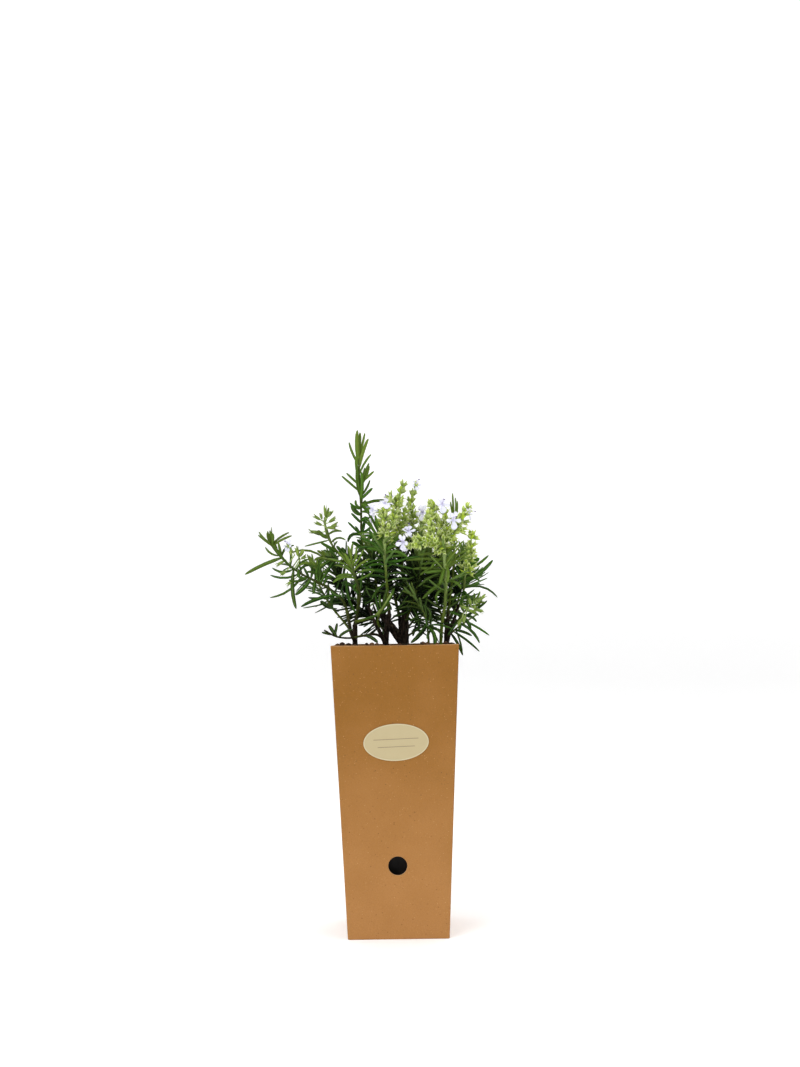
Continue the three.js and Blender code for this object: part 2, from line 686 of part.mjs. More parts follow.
// Calyces in pairs along a spike, from `first` to its tip.
function addCalyces(growth, path, from, draw) {
  const span = path.getLength() - from - SPIKE.first;
  const pairs = Math.floor(span / SPIKE.pitch);
  for (let i = 0; i <= pairs; i += 1) {
    const share = i / Math.max(pairs, 1);
    const frame = frameAt(path, from + SPIKE.first + i * SPIKE.pitch);
    for (const side of [0, 1]) {
      const turn = (i * Math.PI) / 2 + side * Math.PI + (draw() - 0.5) * 0.5;
      const along = leaning(frame, turn, radians(blend(SPIKE.angles, share) + (draw() - 0.5) * 10));
      const across = squareTo(along, frame.along);
      const calyx = bell(
        { centre: frame.centre, along, across, side: along.clone().cross(across) },
        CALYX.length * lerp(1, 0.8, share),
      );
      if (fits(growth.name, calyx.lengths)) growth.add(calyx);
    }
  }
}

// The point of a head's spikes that is nearest to another point.
function nearestOnSpikes(paths, point) {
  const candidates = paths.flatMap((path) => path.getSpacedPoints(60));
  return candidates.reduce((best, one) =>
    (one.distanceTo(point) < best.distanceTo(point) ? one : best));
}

// The five-lobed face of an open flower, a dished plate with a notch between each lobe and the next.
function corollaFace(frame) {
  const outline = LOBES.flatMap(({ turn, reach, spread, back }, i) => {
    const after = LOBES[(i + 1) % LOBES.length].turn + (i + 1 < LOBES.length ? 0 : 360);
    return [
      { turn: turn - spread, reach, back },
      { turn: turn + spread, reach, back },
      { turn: (turn + after) / 2, reach: BLOOM.notch, back: 0 },
    ];
  });
  const plate = (depth) => outline.map(({ turn, reach, back }) =>
    frame.centre
      .clone()
      .addScaledVector(frame.across, reach * Math.cos(radians(turn)))
      .addScaledVector(frame.side, reach * Math.sin(radians(turn)))
      .addScaledVector(frame.along, BLOOM.dish - back - depth));
  const middle = (depth) => [frame.centre.clone().addScaledVector(frame.along, -depth)];
  return loft([middle(BLOOM.thickness), plate(BLOOM.thickness), plate(0), middle(0)]);
}

// An open flower on its own calyx: a tube, a face of two lips and two long stamens.
function addFlower(bloom, head, root, throat) {
  const along = throat.clone().sub(root).normalize();
  const across = squareTo(along, UP);
  const side = along.clone().cross(across);
  head.add(bell({ centre: root, along, across, side }, CALYX.length));
  const foot = root.clone().addScaledVector(along, CALYX.length - SEAT_GAP);
  const frame = { centre: throat, along, across, side };
  bloom.add({
    geometry: loft([
      roundRing({ ...frame, centre: foot }, BLOOM.root, BLOOM.sides),
      roundRing(frame, BLOOM.throat, BLOOM.sides),
    ]),
    lengths: [{ start: foot, end: throat, radii: [BLOOM.root, BLOOM.throat] }],
  });
  bloom.add({
    geometry: corollaFace(frame),
    lengths: LOBES.map(({ turn, reach }) => ({
      start: throat,
      end: throat.clone().addScaledVector(leaning(frame, radians(turn), Math.PI / 2), reach * 0.8),
      radii: [BLOOM.throat, BLOOM.throat],
    })),
  });
  const start = throat.clone().addScaledVector(along, -STAMENS.sunk);
  for (const turn of STAMENS.turns) {
    const low = leaning(frame, radians(turn), radians(STAMENS.rise));
    const high = leaning(frame, radians(turn), radians(STAMENS.rise - STAMENS.bend));
    const knee = start.clone().addScaledVector(low, STAMENS.length * 0.6);
    const tip = knee.clone().addScaledVector(high, STAMENS.length * 0.4);
    const size = { width: STAMENS.width, thickness: STAMENS.width, root: 1 };
    bloom.add(blade({ start, knee, tip, facing: across, ...size }));
  }
}

function growPlant() {
  const trunks = Object.fromEntries(
    Object.keys(TRUNKS).map((name) => [name, new Growth(`trunk_${name}`, BARK)]));
  for (const [name, limbs] of Object.entries(TRUNKS)) {
    for (const { radii, points } of limbs) {
      const path = pathThrough(points);
      trunks[name].add(tube(path, 0, path.getLength(), radii, TRUNK_SIDES));
    }
  }

  const heads = [];
  const shoots = STEMS.map((given) => {
    const stem = { ...PLAIN_STEM, ...given };
    const head = HEADS.find((one) => one.stem === stem.name);
    const path = pathThrough(head ? [...stem.points, ...head.spikes[0]] : stem.points);
    const end = distanceOf(path, stem.points.length - 1);
    const growth = new Growth(`leafy_stem_${stem.name}`, LEAF);
    const shoot = { stem, path, end, growth, foot: 0, flowers: Boolean(head) };
    if (stem.trunk) {
      trunks[stem.trunk].add(tube(path, 0, stem.bark, stem.radii, STEM_SIDES));
      shoot.foot = stem.bark + SEAT_GAP;
    }
    growth.add(tube(path, shoot.foot, end, stem.radii, STEM_SIDES));
    if (head) {
      const flowering = new Growth(`flower_head_${head.name}`, CALYX_GREEN);
      const paths = [path, ...head.spikes.slice(1).map(pathThrough)];
      const starts = paths.map((one) => (one === path ? end + SEAT_GAP : 0));
      paths.forEach((one, i) => {
        flowering.add(tube(one, starts[i], one.getLength(), SPIKE.radii, SPIKE.sides));
      });
      heads.push({ ...head, growth: flowering, paths, starts });
    }
    return shoot;
  });

  const blooms = FLOWERS.map(({ head: name, throat }, i) => {
    const bloom = new Growth(`bloom_${String(i + 1).padStart(2, "0")}`, LILAC);
    const head = heads.find((one) => one.name === name);
    addFlower(bloom, head.growth, nearestOnSpikes(head.paths, vector(throat)), vector(throat));
    return bloom;
  });

  heads.forEach((head, i) => {
    const draw = drawsFrom(PLANT_SEED + 500 + i);
    head.paths.forEach((path, j) => addCalyces(head.growth, path, head.starts[j], draw));
  });
  shoots.forEach((shoot, i) => addNeedles(shoot.growth, shoot, drawsFrom(PLANT_SEED + i)));

  const growths = [
    ...Object.values(trunks),
    ...shoots.map((shoot) => shoot.growth),
    ...heads.map((head) => head.growth),
    ...blooms,
  ];
  return growths.map((growth) => growth.mesh());
}

// ---------------------------------------------------------------- the whole object

const holder = new THREE.Group();
holder.add(boardBox(), ovalLabel(), nurseryPot(), pottingSoil());

const plant = new THREE.Group();
plant.add(...growPlant());

const potted_rosemary = new THREE.Group();
potted_rosemary.add(holder, plant);

export default potted_rosemary;
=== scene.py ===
"""A flowering rosemary in its square nursery pot, inside a tall tapered box of brown board.

Sizes are in millimetres, +Z up, and MM turns them into Blender's metres. The origin is the centre of the
box's underside, and the box's front faces -Y. Stems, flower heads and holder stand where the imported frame
has them.
"""

import logging
import math
from dataclasses import dataclass, field, replace
from enum import Enum
from functools import cache
from typing import Callable, Iterable, Sequence

import bmesh
import bpy
import numpy as np
from mathutils import Euler, Matrix, Vector, noise


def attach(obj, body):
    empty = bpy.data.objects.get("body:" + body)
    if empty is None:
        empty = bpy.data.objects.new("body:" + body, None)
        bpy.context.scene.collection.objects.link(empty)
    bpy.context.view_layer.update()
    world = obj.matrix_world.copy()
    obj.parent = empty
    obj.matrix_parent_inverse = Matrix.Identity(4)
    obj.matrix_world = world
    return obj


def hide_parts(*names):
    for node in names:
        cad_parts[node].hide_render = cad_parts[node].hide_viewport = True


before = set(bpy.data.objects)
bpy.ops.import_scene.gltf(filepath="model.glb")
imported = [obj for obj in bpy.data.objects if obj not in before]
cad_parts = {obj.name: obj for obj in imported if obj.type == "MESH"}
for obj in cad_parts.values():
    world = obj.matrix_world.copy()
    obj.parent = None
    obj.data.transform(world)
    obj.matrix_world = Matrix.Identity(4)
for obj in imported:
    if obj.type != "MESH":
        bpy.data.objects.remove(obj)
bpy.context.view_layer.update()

log = logging.getLogger("potted_rosemary")

MM = 0.001
BODY = "root"
UP = Vector((0, 0, 1))
FULL_TURN = 2 * math.pi

Pair = tuple[float, float]
Point = tuple[float, float, float]
Bones = tuple[Vector, Vector, Vector]
Colour = tuple[int, int, int]
Mark = float | np.ndarray
Piece = bpy.types.Object
Material = bpy.types.Material
NodeTree = bpy.types.NodeTree
Socket = bpy.types.NodeSocket


class Slot(Enum):
    """The record's material slots."""

    BOARD = "kraft_board"
    LABEL = "label_paper"
    PLASTIC = "black_plastic"
    SOIL = "soil"
    BARK = "wood_bark"
    LEAF = "leaf_green"
    CALYX = "calyx_green"
    PETAL = "petal_lilac"


# ---------------------------------------------------------------- where everything stands


@dataclass(frozen=True)
class Limb:
    """One woody limb of a trunk: its radius at foot and end, and the points that it passes."""

    radii: Pair
    points: tuple[Point, ...]


TRUNKS: dict[str, tuple[Limb, ...]] = {
    "centre": (
        Limb((4.3, 3.0), ((8, 2, 213), (8, 2, 222), (8, 2, 231), (8.5, 3, 250), (9, 3, 266))),
        Limb((3.0, 2.2), ((8, 2, 233), (0, 3, 243), (-7, 5, 252), (-13, 8, 261))),
        Limb((2.1, 1.4), ((7, -1, 228), (1, -5, 237), (-5, -6, 246), (-11, -6, 256), (-16, -8, 268))),
    ),
    "front": (
        Limb((2.6, 2.0), ((-7, -9, 213), (-7, -9, 222), (-7, -9, 231), (-6, -14, 245), (-4, -18, 255))),
        Limb((1.9, 1.2), ((-7, -9, 230), (-11, -10, 239), (-16, -10, 249), (-21, -9, 262))),
    ),
    "left": (Limb((2.5, 2.1), ((-32, -8, 213), (-32, -8, 222), (-32, -8, 231), (-32, -9, 247))),),
    "right": (
        Limb((2.3, 2.0), ((42, 0, 213), (42, 0, 222), (42, 0, 231), (43, -3, 250))),
        Limb((1.7, 1.1), ((42, 0, 228), (44, -3, 237), (48, -6, 249), (52, -8, 262))),
    ),
    "back": (Limb((2.6, 2.1), ((6, 32, 213), (6, 32, 222), (6, 32, 231), (5, 34, 250))),),
}


@dataclass(frozen=True)
class Leaf:
    """A needle whose place the photograph shows.

    `at` is how far up its stem it grows, in percent. Its tip is `right` of there, `above` it and `behind` it,
    and it arches upwards by `arch`, or sags where that is below 0.
    """

    at: float
    right: float
    above: float
    behind: float
    arch: float
    width: float


def leaves(*rows: tuple[float, ...]) -> tuple[Leaf, ...]:
    """Returns needles from rows of their measures."""
    return tuple(Leaf(*row) for row in rows)


@dataclass(frozen=True)
class SideShoot:
    """A short leafy shoot that branches from a stem."""

    points: tuple[Point, ...]
    radius: float = 0.8
    leaves: tuple[Leaf, ...] = ()


@dataclass(frozen=True)
class StemPlan:
    """A leafy stem. Its first `bark` is wood of its trunk, and its leaves start `bare` above that.

    `known` says that all its needles towards the front are in `leaves`. `thick` is how many more needles it
    tries at each place, where needles crowd. `pale` is how light the skin of its upper end is, and `dark` how
    brown and woody the skin below. `broad` is what the widths of its known needles are multiplied by, and
    `light` how much painted light brightens its needles, through their youth mark, or how much more painted
    shade darkens them where it is below 0.
    """

    name: str
    radii: Pair
    points: tuple[Point, ...]
    trunk: str | None = None
    bark: float = 9
    bare: float = 8
    pitch: float = 8
    angles: Point = (72, 58, 22)
    lengths: Point = (20, 25, 17)
    droop: float = 0.15
    known: bool = False
    thick: int = 0
    dark: float = 0.35
    broad: float = 1.0
    light: float = 0.0
    pale: float = 0.4
    shoots: tuple[SideShoot, ...] = ()
    leaves: tuple[Leaf, ...] = ()


STEMS = (
    StemPlan(
        "tall", (1.7, 0.9), trunk="centre", known=True, bark=20, bare=12, angles=(52, 40, 14),
        lengths=(17, 24, 21), pale=0.25, dark=0.7, broad=1.15,
        points=(
            (-13, 8, 261), (-19, 9, 278), (-24, 8, 300), (-26, 6, 320), (-26, 4, 342), (-27, 3, 365),
            (-27, 2, 386),
        ),
        leaves=leaves(
            (95, -1, 26, -2, -1, 2.5), (98, 1, 21, 3, 0, 1.7), (97, 5, 22, 4, 0, 1.6),
            (91, 8, 24, -3, 1, 2.1), (93, -8, 19, -2, -1, 1.5), (87, 10, 17, 2, 1, 1.3),
            (80, 8, 18, -4, 0, 1.7), (79, 8, 18, 5, -1, 1.6), (81, 12, 10, -3, 0, 1.7),
            (76, -15, 13, -4, 0, 1.4), (80, -11, 11, 3, 0, 1.3), (73, 8, 14, 3, -1, 1.6),
            (71, 10, 9, -4, 0, 1.7), (73, -2, 24, -8, -1, 2.4), (71, 1, 22, -7, -1, 2.2),
            (84, -2, 19, -6, -1, 2.1), (66, -4, 6, -2, -2, 1.5), (65, -9, 5, -3, -1, 1.6),
            (61, -8, 8, 3, 0, 1.2), (66, 4, 6, 3, 0, 1.9), (56, -8, 8, -3, 0, 1.7),
            (48, -11, 11, -3, 0, 1.4), (48, -5, 8, 3, 0, 1.3), (67, 6, -7, -6, 2, 2.4),
            (63, 8, -6, -5, 3, 2.1), (48, -11, -6, -7, 4, 2.0), (48, 13, -1, -9, 0, 1.7),
            (59, 12, -13, -4, 1, 1.6), (67, 26, 3, 9, 3, 1.6), (50, 2, 9, -6, -1, 1.9),
            (57, 6, 2, -6, 1, 1.9), (61, -8, 8, -5, -2, 1.5), (50, 8, 4, -8, -1, 2.7),
            (42, -4, 4, -5, 0, 1.7), (68, 7, -8, -8, 2, 2.5), (67, 6, -7, -9, 1, 1.7),
            (38, -9, 7, -6, 1, 1.9), (39, 12, 4, -6, 1, 2.1), (35, -11, -3, -6, 1, 2.1),
            (43, 9, 4, -5, 1, 1.7),
        ),
    ),
    StemPlan(
        "far_left", (1.8, 0.9), trunk="left", known=True, bark=32, bare=6, pitch=8.5, droop=0.5, pale=0.2,
        dark=0.75, light=-0.3,
        points=(
            (-32, -8, 233), (-35, -15, 241), (-36.5, -21, 251), (-40, -26, 265), (-50, -30, 275),
            (-62, -31, 282), (-75, -30, 289), (-87, -28, 299), (-96, -26, 310), (-99, -25, 318),
        ),
        shoots=(
            SideShoot(((-58.7, -29.5, 280.5), (-59.5, -31, 285.5), (-60.3, -33, 290.7)), leaves=leaves(
                (98, -15, 3, -3, 4, 1.8), (96, -6, 8, -4, 1, 1.7), (97, 0, 8, -1, 0, 1.6),
                (90, 6, 6, -4, 1, 1.8), (70, 8, 4, -3, -1, 1.8), (62, -9, 2, -5, 1, 1.8),
                (45, -7, 4, -3, 1, 1.6),
            )),
        ),
        leaves=leaves(
            (95, -10, 10, 3, -1, 1.3), (93, -11, 9, -4, 0, 1.4), (93, -2, 13, 2, 0, 1.7),
            (94, -3, 10, -4, -1, 1.6), (93, 1, 10, -5, 0, 1.9), (94, 14, 10, 2, 1, 1.4),
            (93, 16, 8, -3, 1, 1.6), (83, -2, 12, -5, 0, 1.7), (75, -1, 19, 4, 1, 1.6),
            (83, 10, 10, 3, 3, 1.5), (85, -11, 7, -3, -2, 1.3), (75, -13, 16, -4, -1, 1.3),
            (83, -29, -13, -3, 1, 2.5), (72, -17, 1, -3, -3, 1.5), (67, -24, -1, 3, -3, 1.5),
            (72, 2, -32, -7, -2, 2.5), (65, -26, -18, -4, -4, 1.6), (59, -12, -13, -6, -1, 2.5),
            (38, -29, -9, -5, 2, 2.5), (40, -22, -3, 4, -2, 1.7), (51, -3, 20, 4, 1, 1.6),
            (53, 5, 18, -5, 4, 1.9), (68, 15, 3, -6, 4, 1.9), (70, 10, 9, 3, 2, 1.6),
            (61, -7, 6, -6, -4, 2.5), (69, -12, 12, -4, -1, 1.7), (79, -9, 13, -5, 0, 1.6),
            (60, -4, 8, -4, 0, 1.6), (56, -1, 10, 3, 1, 1.6), (53, 0, 15, -5, 1, 1.9),
            (52, 7, 12, -4, 0, 1.7), (49, 7, 7, -5, 2, 1.6), (61, -15, -2, -3, -2, 1.6),
            (59, 0, 11, 4, 1, 1.6), (44, 9, -5, -5, -2, 2.1), (56, -1, -10, -4, 0, 2.1),
        ),
    ),
    StemPlan(
        "upper_left", (1.6, 0.9), trunk="left", known=True, bark=12, bare=14, light=-0.2,
        points=(
            (-32, -9, 247), (-29, -6, 266), (-32, -6, 287), (-39, -8, 299), (-49, -10, 311), (-54, -11, 322),
            (-55, -11, 334),
        ),
        shoots=(
            SideShoot(((-39, -8, 299), (-47, -13, 298.5), (-56.5, -17, 301)), leaves=leaves(
                (98, -26, 4, -4, 4, 1.8), (94, -8, -2, -4, 1, 1.8), (92, -6, 6, -4, 1, 1.8),
                (78, -9, -3, -4, 1, 2.0), (62, -9, -7, -5, 1, 2.0), (48, -6, -10, -4, 1, 2.0),
                (40, -6, 9, -4, 1, 2.0),
            )),
        ),
        leaves=leaves(
            (82, -8, 6, -5, -1, 2.5), (85, -15, 5, -3, -2, 1.4), (84, 12, 3, -4, 2, 1.4),
            (77, 12, 2, -4, 3, 1.4), (80, -20, -5, -3, 0, 1.4), (67, -14, 8, -5, 0, 2.4),
            (69, -11, 1, 4, -1, 1.5), (64, -14, 0, -4, -2, 1.7), (72, 3, 5, -5, 1, 1.9),
            (61, -5, 9, -7, 1, 2.4), (57, -3, 11, -6, 1, 2.4), (55, 1, 13, -7, -1, 2.2),
            (53, 25, 15, -8, 5, 1.8), (57, -14, -4, -6, -1, 1.9), (22, -14, 6, 8, -1, 1.8),
            (23, 13, 5, 7, 1, 1.8), (28, -12, 10, 7, 1, 1.8), (29, 14, 8, 8, 1, 1.8),
            (34, -13, 3, 8, -1, 1.8), (35, 12, 10, 7, 1, 1.8), (39, 15, 3, 8, 1, 1.8),
            (40, -9, 12, 8, 1, 1.8), (45, 14, 8, 7, 1, 1.8), (46, -3, 15, 8, 1, 1.8), (26, 4, 16, 9, 1, 1.8),
            (32, -4, 17, 9, 1, 1.8),
        ),
    ),
    StemPlan(
        "left_front", (1.3, 0.9), trunk="left", known=True, pitch=7, pale=0.2, dark=0.8, broad=0.85,
        points=((-32, -8.7, 243), (-29, -18, 258), (-27, -30, 272), (-30, -42, 284), (-33, -50, 294)),
        leaves=leaves(
            (21, -8, 29, -2, -3, 2.2), (54, -1, 9, -3, -4, 2.1), (94, -11, 13, -4, 0, 1.8),
            (90, -9, 15, -2, 1, 1.6), (97, -3, 16, -3, 1, 1.8), (96, 1, 19, 2, 1, 1.9),
            (95, 9, 14, -4, -1, 1.6), (97, 4, 15, -5, -1, 1.5), (88, -20, 11, -3, 2, 1.7),
            (84, -16, 8, 3, 2, 1.6), (90, 13, 9, -4, 1, 1.7), (82, -15, -1, -6, 2, 2.1),
            (78, -18, -3, -3, 3, 1.9), (84, 16, 3, -5, 2, 1.9), (76, 14, 7, -6, -1, 1.6),
            (98, -5, 9, -6, 0, 2.2), (98, 5, 8, -6, 0, 2.0),
        ),
    ),
    StemPlan(
        "left_back", (1.4, 0.9), trunk="left", thick=2, bare=26,
        points=((-32, -8, 236), (-40, 3, 248), (-50, 12, 260), (-60, 18, 276), (-66, 20, 292)),
        leaves=leaves(
            (51, -10, 6, -5, -1, 2.4),
        ),
    ),
    StemPlan(
        "low_front", (1.2, 0.8), trunk="front", known=True, bare=4, angles=(40, 30, 16),
        lengths=(19, 24, 22), pale=0.6, dark=0.0,
        points=((-6.5, -12.5, 241), (-13, -22, 247), (-12, -33, 255), (-7, -40, 263), (-2, -43, 271)),
        shoots=(
            SideShoot(((-31, -14, 249.5), (-22.5, -25, 251.5), (-14, -32, 254.5), (-9, -36, 260)), 1.2),
        ),
        leaves=leaves(
            (63, 11, 18, -3, -1, 2.5), (55, -3, 16, 2, 0, 1.4), (66, 5, 18, 3, 0, 1.6),
            (70, 9, 13, -6, 0, 2.1), (53, -12, -3, -4, 0, 1.7), (57, 9, 6, 4, -1, 1.7),
            (67, -1, 12, -5, -1, 1.6),
        ),
    ),
    StemPlan(
        "low_left", (1.3, 0.9), trunk="front", known=True, bark=34, bare=1, angles=(65, 55, 25),
        lengths=(12, 14, 12), pale=0.0, dark=0.95, broad=1.1, light=-0.9,
        points=(
            (-7, -9, 234), (-15, -17, 239), (-26, -25, 238), (-36, -33, 236.5), (-46, -39, 238),
            (-55, -43, 243),
        ),
        leaves=leaves(
            (81, -6, 9, -3, 0, 2.1), (84, 2, 10, 2, 0, 1.7), (88, -8, 2, -2, 0, 1.3),
            (78, 11, 6, -4, 1, 1.6), (37, 10, -6, -5, 1, 2.1),
        ),
    ),
    StemPlan(
        "centre_front", (1.7, 1.2), trunk="front", bark=8, bare=12, pitch=7.5, angles=(75, 62, 45),
        lengths=(24, 27, 24), pale=1.0, dark=0.1, broad=0.75,
        points=((-4, -18, 255), (-5, -24, 268), (-6, -29, 286), (-7, -32, 302), (-7, -33, 314)),
        leaves=leaves(
            (60, -10, 10, -7, 1, 2.4), (55, -14, 5, -8, 2, 2.4), (59, 15, 5, -6, 1, 2.1),
            (51, 18, 2, -6, 2, 2.1), (46, -15, -2, -7, 2, 2.4), (66, -11, 22, -4, 0, 2.8),
            (69, -7, 19, -7, -1, 2.7), (63, -15, 21, 4, 1, 1.6), (68, -21, 6, 3, 3, 1.8),
            (61, -23, 10, 5, 1, 1.6), (59, -24, 2, -5, 2, 1.8), (51, -19, -6, -5, 2, 2.1),
            (34, -16, 1, -6, 2, 2.7), (59, 13, 12, -6, 0, 1.9), (57, 18, -4, -7, 3, 2.5),
            (49, 22, -6, -7, 0, 2.1), (44, 27, 8, -7, 2, 2.1), (37, 18, 0, -5, 2, 2.1),
            (55, -13, 12, -6, 1, 2.2), (30, -12, -13, 3, 2, 2.1), (40, -16, 0, -7, 2, 2.1),
            (48, 13, 1, -9, 1, 2.1), (64, -13, 21, -5, -1, 2.6), (58, -13, 18, -4, 1, 2.2),
        ),
    ),
    StemPlan(
        "centre", (2.0, 1.3), trunk="centre", thick=9, bark=8,
        points=((9, 3, 266), (8, 0, 287), (4, -4, 309)),
    ),
    StemPlan(
        "centre_back", (1.6, 1.2), trunk="centre", thick=9,
        points=((9, 3, 254), (15, 9, 270), (17, 9, 290), (17, 5, 313)),
    ),
    StemPlan(
        "inner_left", (1.4, 0.9), trunk="centre", thick=9, pitch=7.5,
        points=((-7, 5, 252), (-12, -3, 268), (-16, -11, 290), (-18, -14, 308)),
        leaves=leaves(
            (70, -2, -22, -8, 5, 2.7), (54, -10, -10, -6, 2, 2.2), (74, -13, 4, -6, 2, 2.1),
            (66, 14, 3, -7, 2, 2.1), (40, -11, -10, -5, -1, 2.1), (33, 10, -11, -4, 2, 1.9),
            (30, -13, 4, 5, 1, 1.8), (38, 12, 5, 6, 1, 1.8), (45, -13, 8, 6, 1, 1.8),
            (52, 12, -2, 5, 1, 1.8), (60, -14, 2, 5, 1, 1.8), (68, 9, 12, 5, 1, 1.8),
            (76, -10, 11, 5, 1, 1.8), (48, 1, 16, 7, 1, 1.8),
        ),
    ),
    StemPlan(
        "inner_right", (1.4, 0.9), trunk="centre", thick=9, bare=6, pitch=7.5,
        points=((8.3, 2.7, 246), (13, -7, 259), (18, -16, 274), (21, -22, 288), (22, -24, 299)),
        leaves=leaves(
            (69, -17, -15, -9, 3, 1.7), (81, -14, -6, -8, -1, 2.1), (42, -14, -9, -5, 2, 1.9),
            (31, 13, -12, -4, 2, 2.4), (31, 6, -19, -5, 2, 2.2), (54, -11, -10, -4, 2, 1.9),
            (26, -14, -5, -5, -1, 1.9),
        ),
    ),
    StemPlan(
        "right_front", (1.9, 1.3), bark=0, bare=46, pitch=7.5, angles=(70, 60, 42), lengths=(24, 28, 24),
        pale=1.0, dark=0.0, broad=0.8, light=0.4,
        points=(
            (37, -15, 213), (37, -15, 222), (37, -15, 231), (38, -17, 246), (41, -22, 267), (41, -26, 288),
            (40, -28, 303),
        ),
        leaves=leaves(
            (64, 21, 9, -2, 0, 1.9), (61, 21, 10, -4, 0, 1.9), (58, 22, 10, -6, 2, 1.6),
            (69, 12, 9, 3, -1, 1.7), (68, 16, 10, -3, -1, 1.7), (72, 4, 6, -5, 0, 1.9),
            (60, -5, -14, -7, 0, 2.8), (61, -20, -8, -5, 2, 2.7), (57, -22, -12, -6, 2, 2.7),
            (52, -19, -15, -7, 1, 2.8), (51, 12, -6, -6, 3, 2.2), (59, 5, 14, -6, -2, 2.5),
            (66, -21, 1, -5, 2, 2.4), (64, -31, 0, -7, 1, 2.4), (66, -11, -9, -6, 1, 2.1),
            (58, -26, 1, -6, 1, 2.4), (58, -17, -2, -8, 0, 2.7), (62, 1, -15, -6, 2, 2.4),
            (60, 7, 8, -5, 1, 2.4), (62, 6, 9, -6, 0, 2.2), (47, -7, -12, -5, 4, 2.4),
            (62, -20, -1, -3, 1, 2.1), (54, -17, -1, 3, 1, 2.1), (68, 9, 6, -7, 0, 2.1),
        ),
    ),
    StemPlan(
        "right_upright", (1.5, 0.9), trunk="right", known=True, bark=8, bare=12, pitch=8.5,
        angles=(55, 40, 14), lengths=(20, 22, 17), pale=0.6, broad=0.75,
        points=((43, -3, 250), (45, -7, 266), (48, -10, 290), (49, -12, 314), (49, -13, 334)),
        leaves=leaves(
            (95, -1, 22, -3, 0, 1.9), (94, 1, 19, -5, -1, 1.7), (94, -3, 16, -4, 0, 1.6),
            (93, 3, 18, 3, -1, 1.7),
        ),
    ),
    StemPlan(
        "far_right", (1.4, 1.0), trunk="right", known=True, bare=6, lengths=(23, 28, 24),
        points=((42.3, -1, 239), (50, 2, 254), (56, -2, 271), (58, -8, 288)),
        leaves=leaves(
            (54, 23, 17, -4, -2, 2.5), (64, 19, 13, 4, -1, 1.6), (68, 10, 7, -5, 0, 2.5),
            (55, 12, -1, -5, 3, 2.1), (50, 13, 2, 5, -1, 2.1), (47, 27, -8, -4, 5, 1.7),
            (52, -11, 10, -4, -1, 1.7), (53, -9, 11, 4, -1, 1.7), (55, -7, 12, -5, -1, 1.9),
            (56, -5, 14, 3, -1, 1.7), (58, -2, 13, -4, -1, 1.9), (45, 4, -7, -6, 0, 1.9),
            (45, -2, -12, -5, 0, 2.1), (43, -9, -11, -4, 3, 1.9), (48, -13, 5, -4, 1, 2.1),
        ),
    ),
    StemPlan(
        "low_right", (1.2, 0.8), trunk="right", known=True, bare=5, pitch=7.5, angles=(60, 55, 20),
        droop=0.7,
        points=((42, 0, 234), (46, -10, 242), (55, -19, 255), (63, -25, 264), (68, -28, 267)),
        leaves=leaves(
            (85, 6, 9, -3, -1, 1.7), (45, 24, 16, -4, -1, 2.1), (88, 9, -1, -3, 0, 1.4),
            (58, 12, -6, 4, 2, 1.6), (50, 24, -14, -3, 1, 1.8), (42, 18, -17, -6, 3, 1.7),
            (84, 2, 8, 3, -1, 1.7), (77, 9, 2, -4, -1, 1.9), (73, 2, 10, -4, 1, 1.7),
            (64, -2, 10, 4, -1, 1.9), (56, -9, 3, -4, 0, 1.9), (51, -1, -10, -5, -1, 1.9),
            (57, 7, -11, -5, 1, 2.1), (67, 11, -4, 4, 1, 1.6), (44, -8, -11, -5, 0, 1.9),
        ),
    ),
    StemPlan(
        "low_far_right", (1.2, 0.8), trunk="right", known=True, bare=3, lengths=(24, 26, 22), droop=1.2,
        points=((42, 0, 236), (51, 8, 243), (60, 13, 249), (68, 16, 254)),
        leaves=leaves(
            (26, 21, -17, -8, 1, 1.7), (31, 14, -5, -5, 1, 1.7), (17, 9, -18, -12, 1, 1.7),
        ),
    ),
    StemPlan(
        "inner_far_right", (1.3, 0.9), trunk="right", thick=9, bare=5,
        points=((42.6, -2, 244), (37, 4, 258), (32, 5, 276), (30, 4, 297)),
    ),
    StemPlan(
        "right_back", (1.3, 0.9), trunk="right", thick=9, bare=6,
        points=((42.8, -2.6, 248), (51, 11, 262), (57, 19, 280), (59, 22, 300)),
    ),
    StemPlan(
        "front_right", (1.4, 0.8), bark=0, bare=26, pitch=7.5, lengths=(24, 25, 17), droop=0.8, pale=0.3,
        dark=0.3, broad=0.85, light=-0.25,
        points=(
            (27, -27, 213), (27, -27, 222), (27, -27, 231), (26, -30, 244), (23, -35, 256), (17, -39, 267),
        ),
        leaves=leaves(
            (56, 5, -16, -9, 3, 2.9), (64, -2, 13, -4, 1, 2.4), (62, 0, 12, -6, 3, 2.7),
            (61, -9, -11, -4, -1, 2.4), (58, -13, -14, 3, -1, 2.9), (55, 12, -9, -3, 3, 2.1),
            (66, -10, -3, -3, 1, 2.2), (41, 2, 21, -4, -1, 1.6),
        ),
    ),
    StemPlan(
        "back_upright", (1.6, 1.2), trunk="back", thick=9, bark=8, bare=10,
        points=((5, 34, 250), (1, 39, 268), (-4, 45, 288), (-7, 48, 306)),
    ),
    StemPlan(
        "back_centre", (1.5, 1.1), trunk="back", thick=9,
        points=((5.5, 33, 243), (13, 27, 260), (19, 27, 282), (22, 28, 304)),
    ),
    StemPlan(
        "back_right", (1.4, 0.9), trunk="back", thick=9,
        points=((6, 32, 238), (16, 37, 250), (28, 43, 266), (37, 47, 284), (42, 49, 302)),
    ),
    StemPlan(
        "back_left", (1.5, 0.9), trunk="back", thick=9,
        points=((6, 32, 234), (-7, 36, 244), (-22, 42, 255), (-35, 46, 268), (-46, 48, 284), (-52, 48, 300)),
    ),
    StemPlan(
        "back_far", (1.3, 0.9), trunk="back", bare=6,
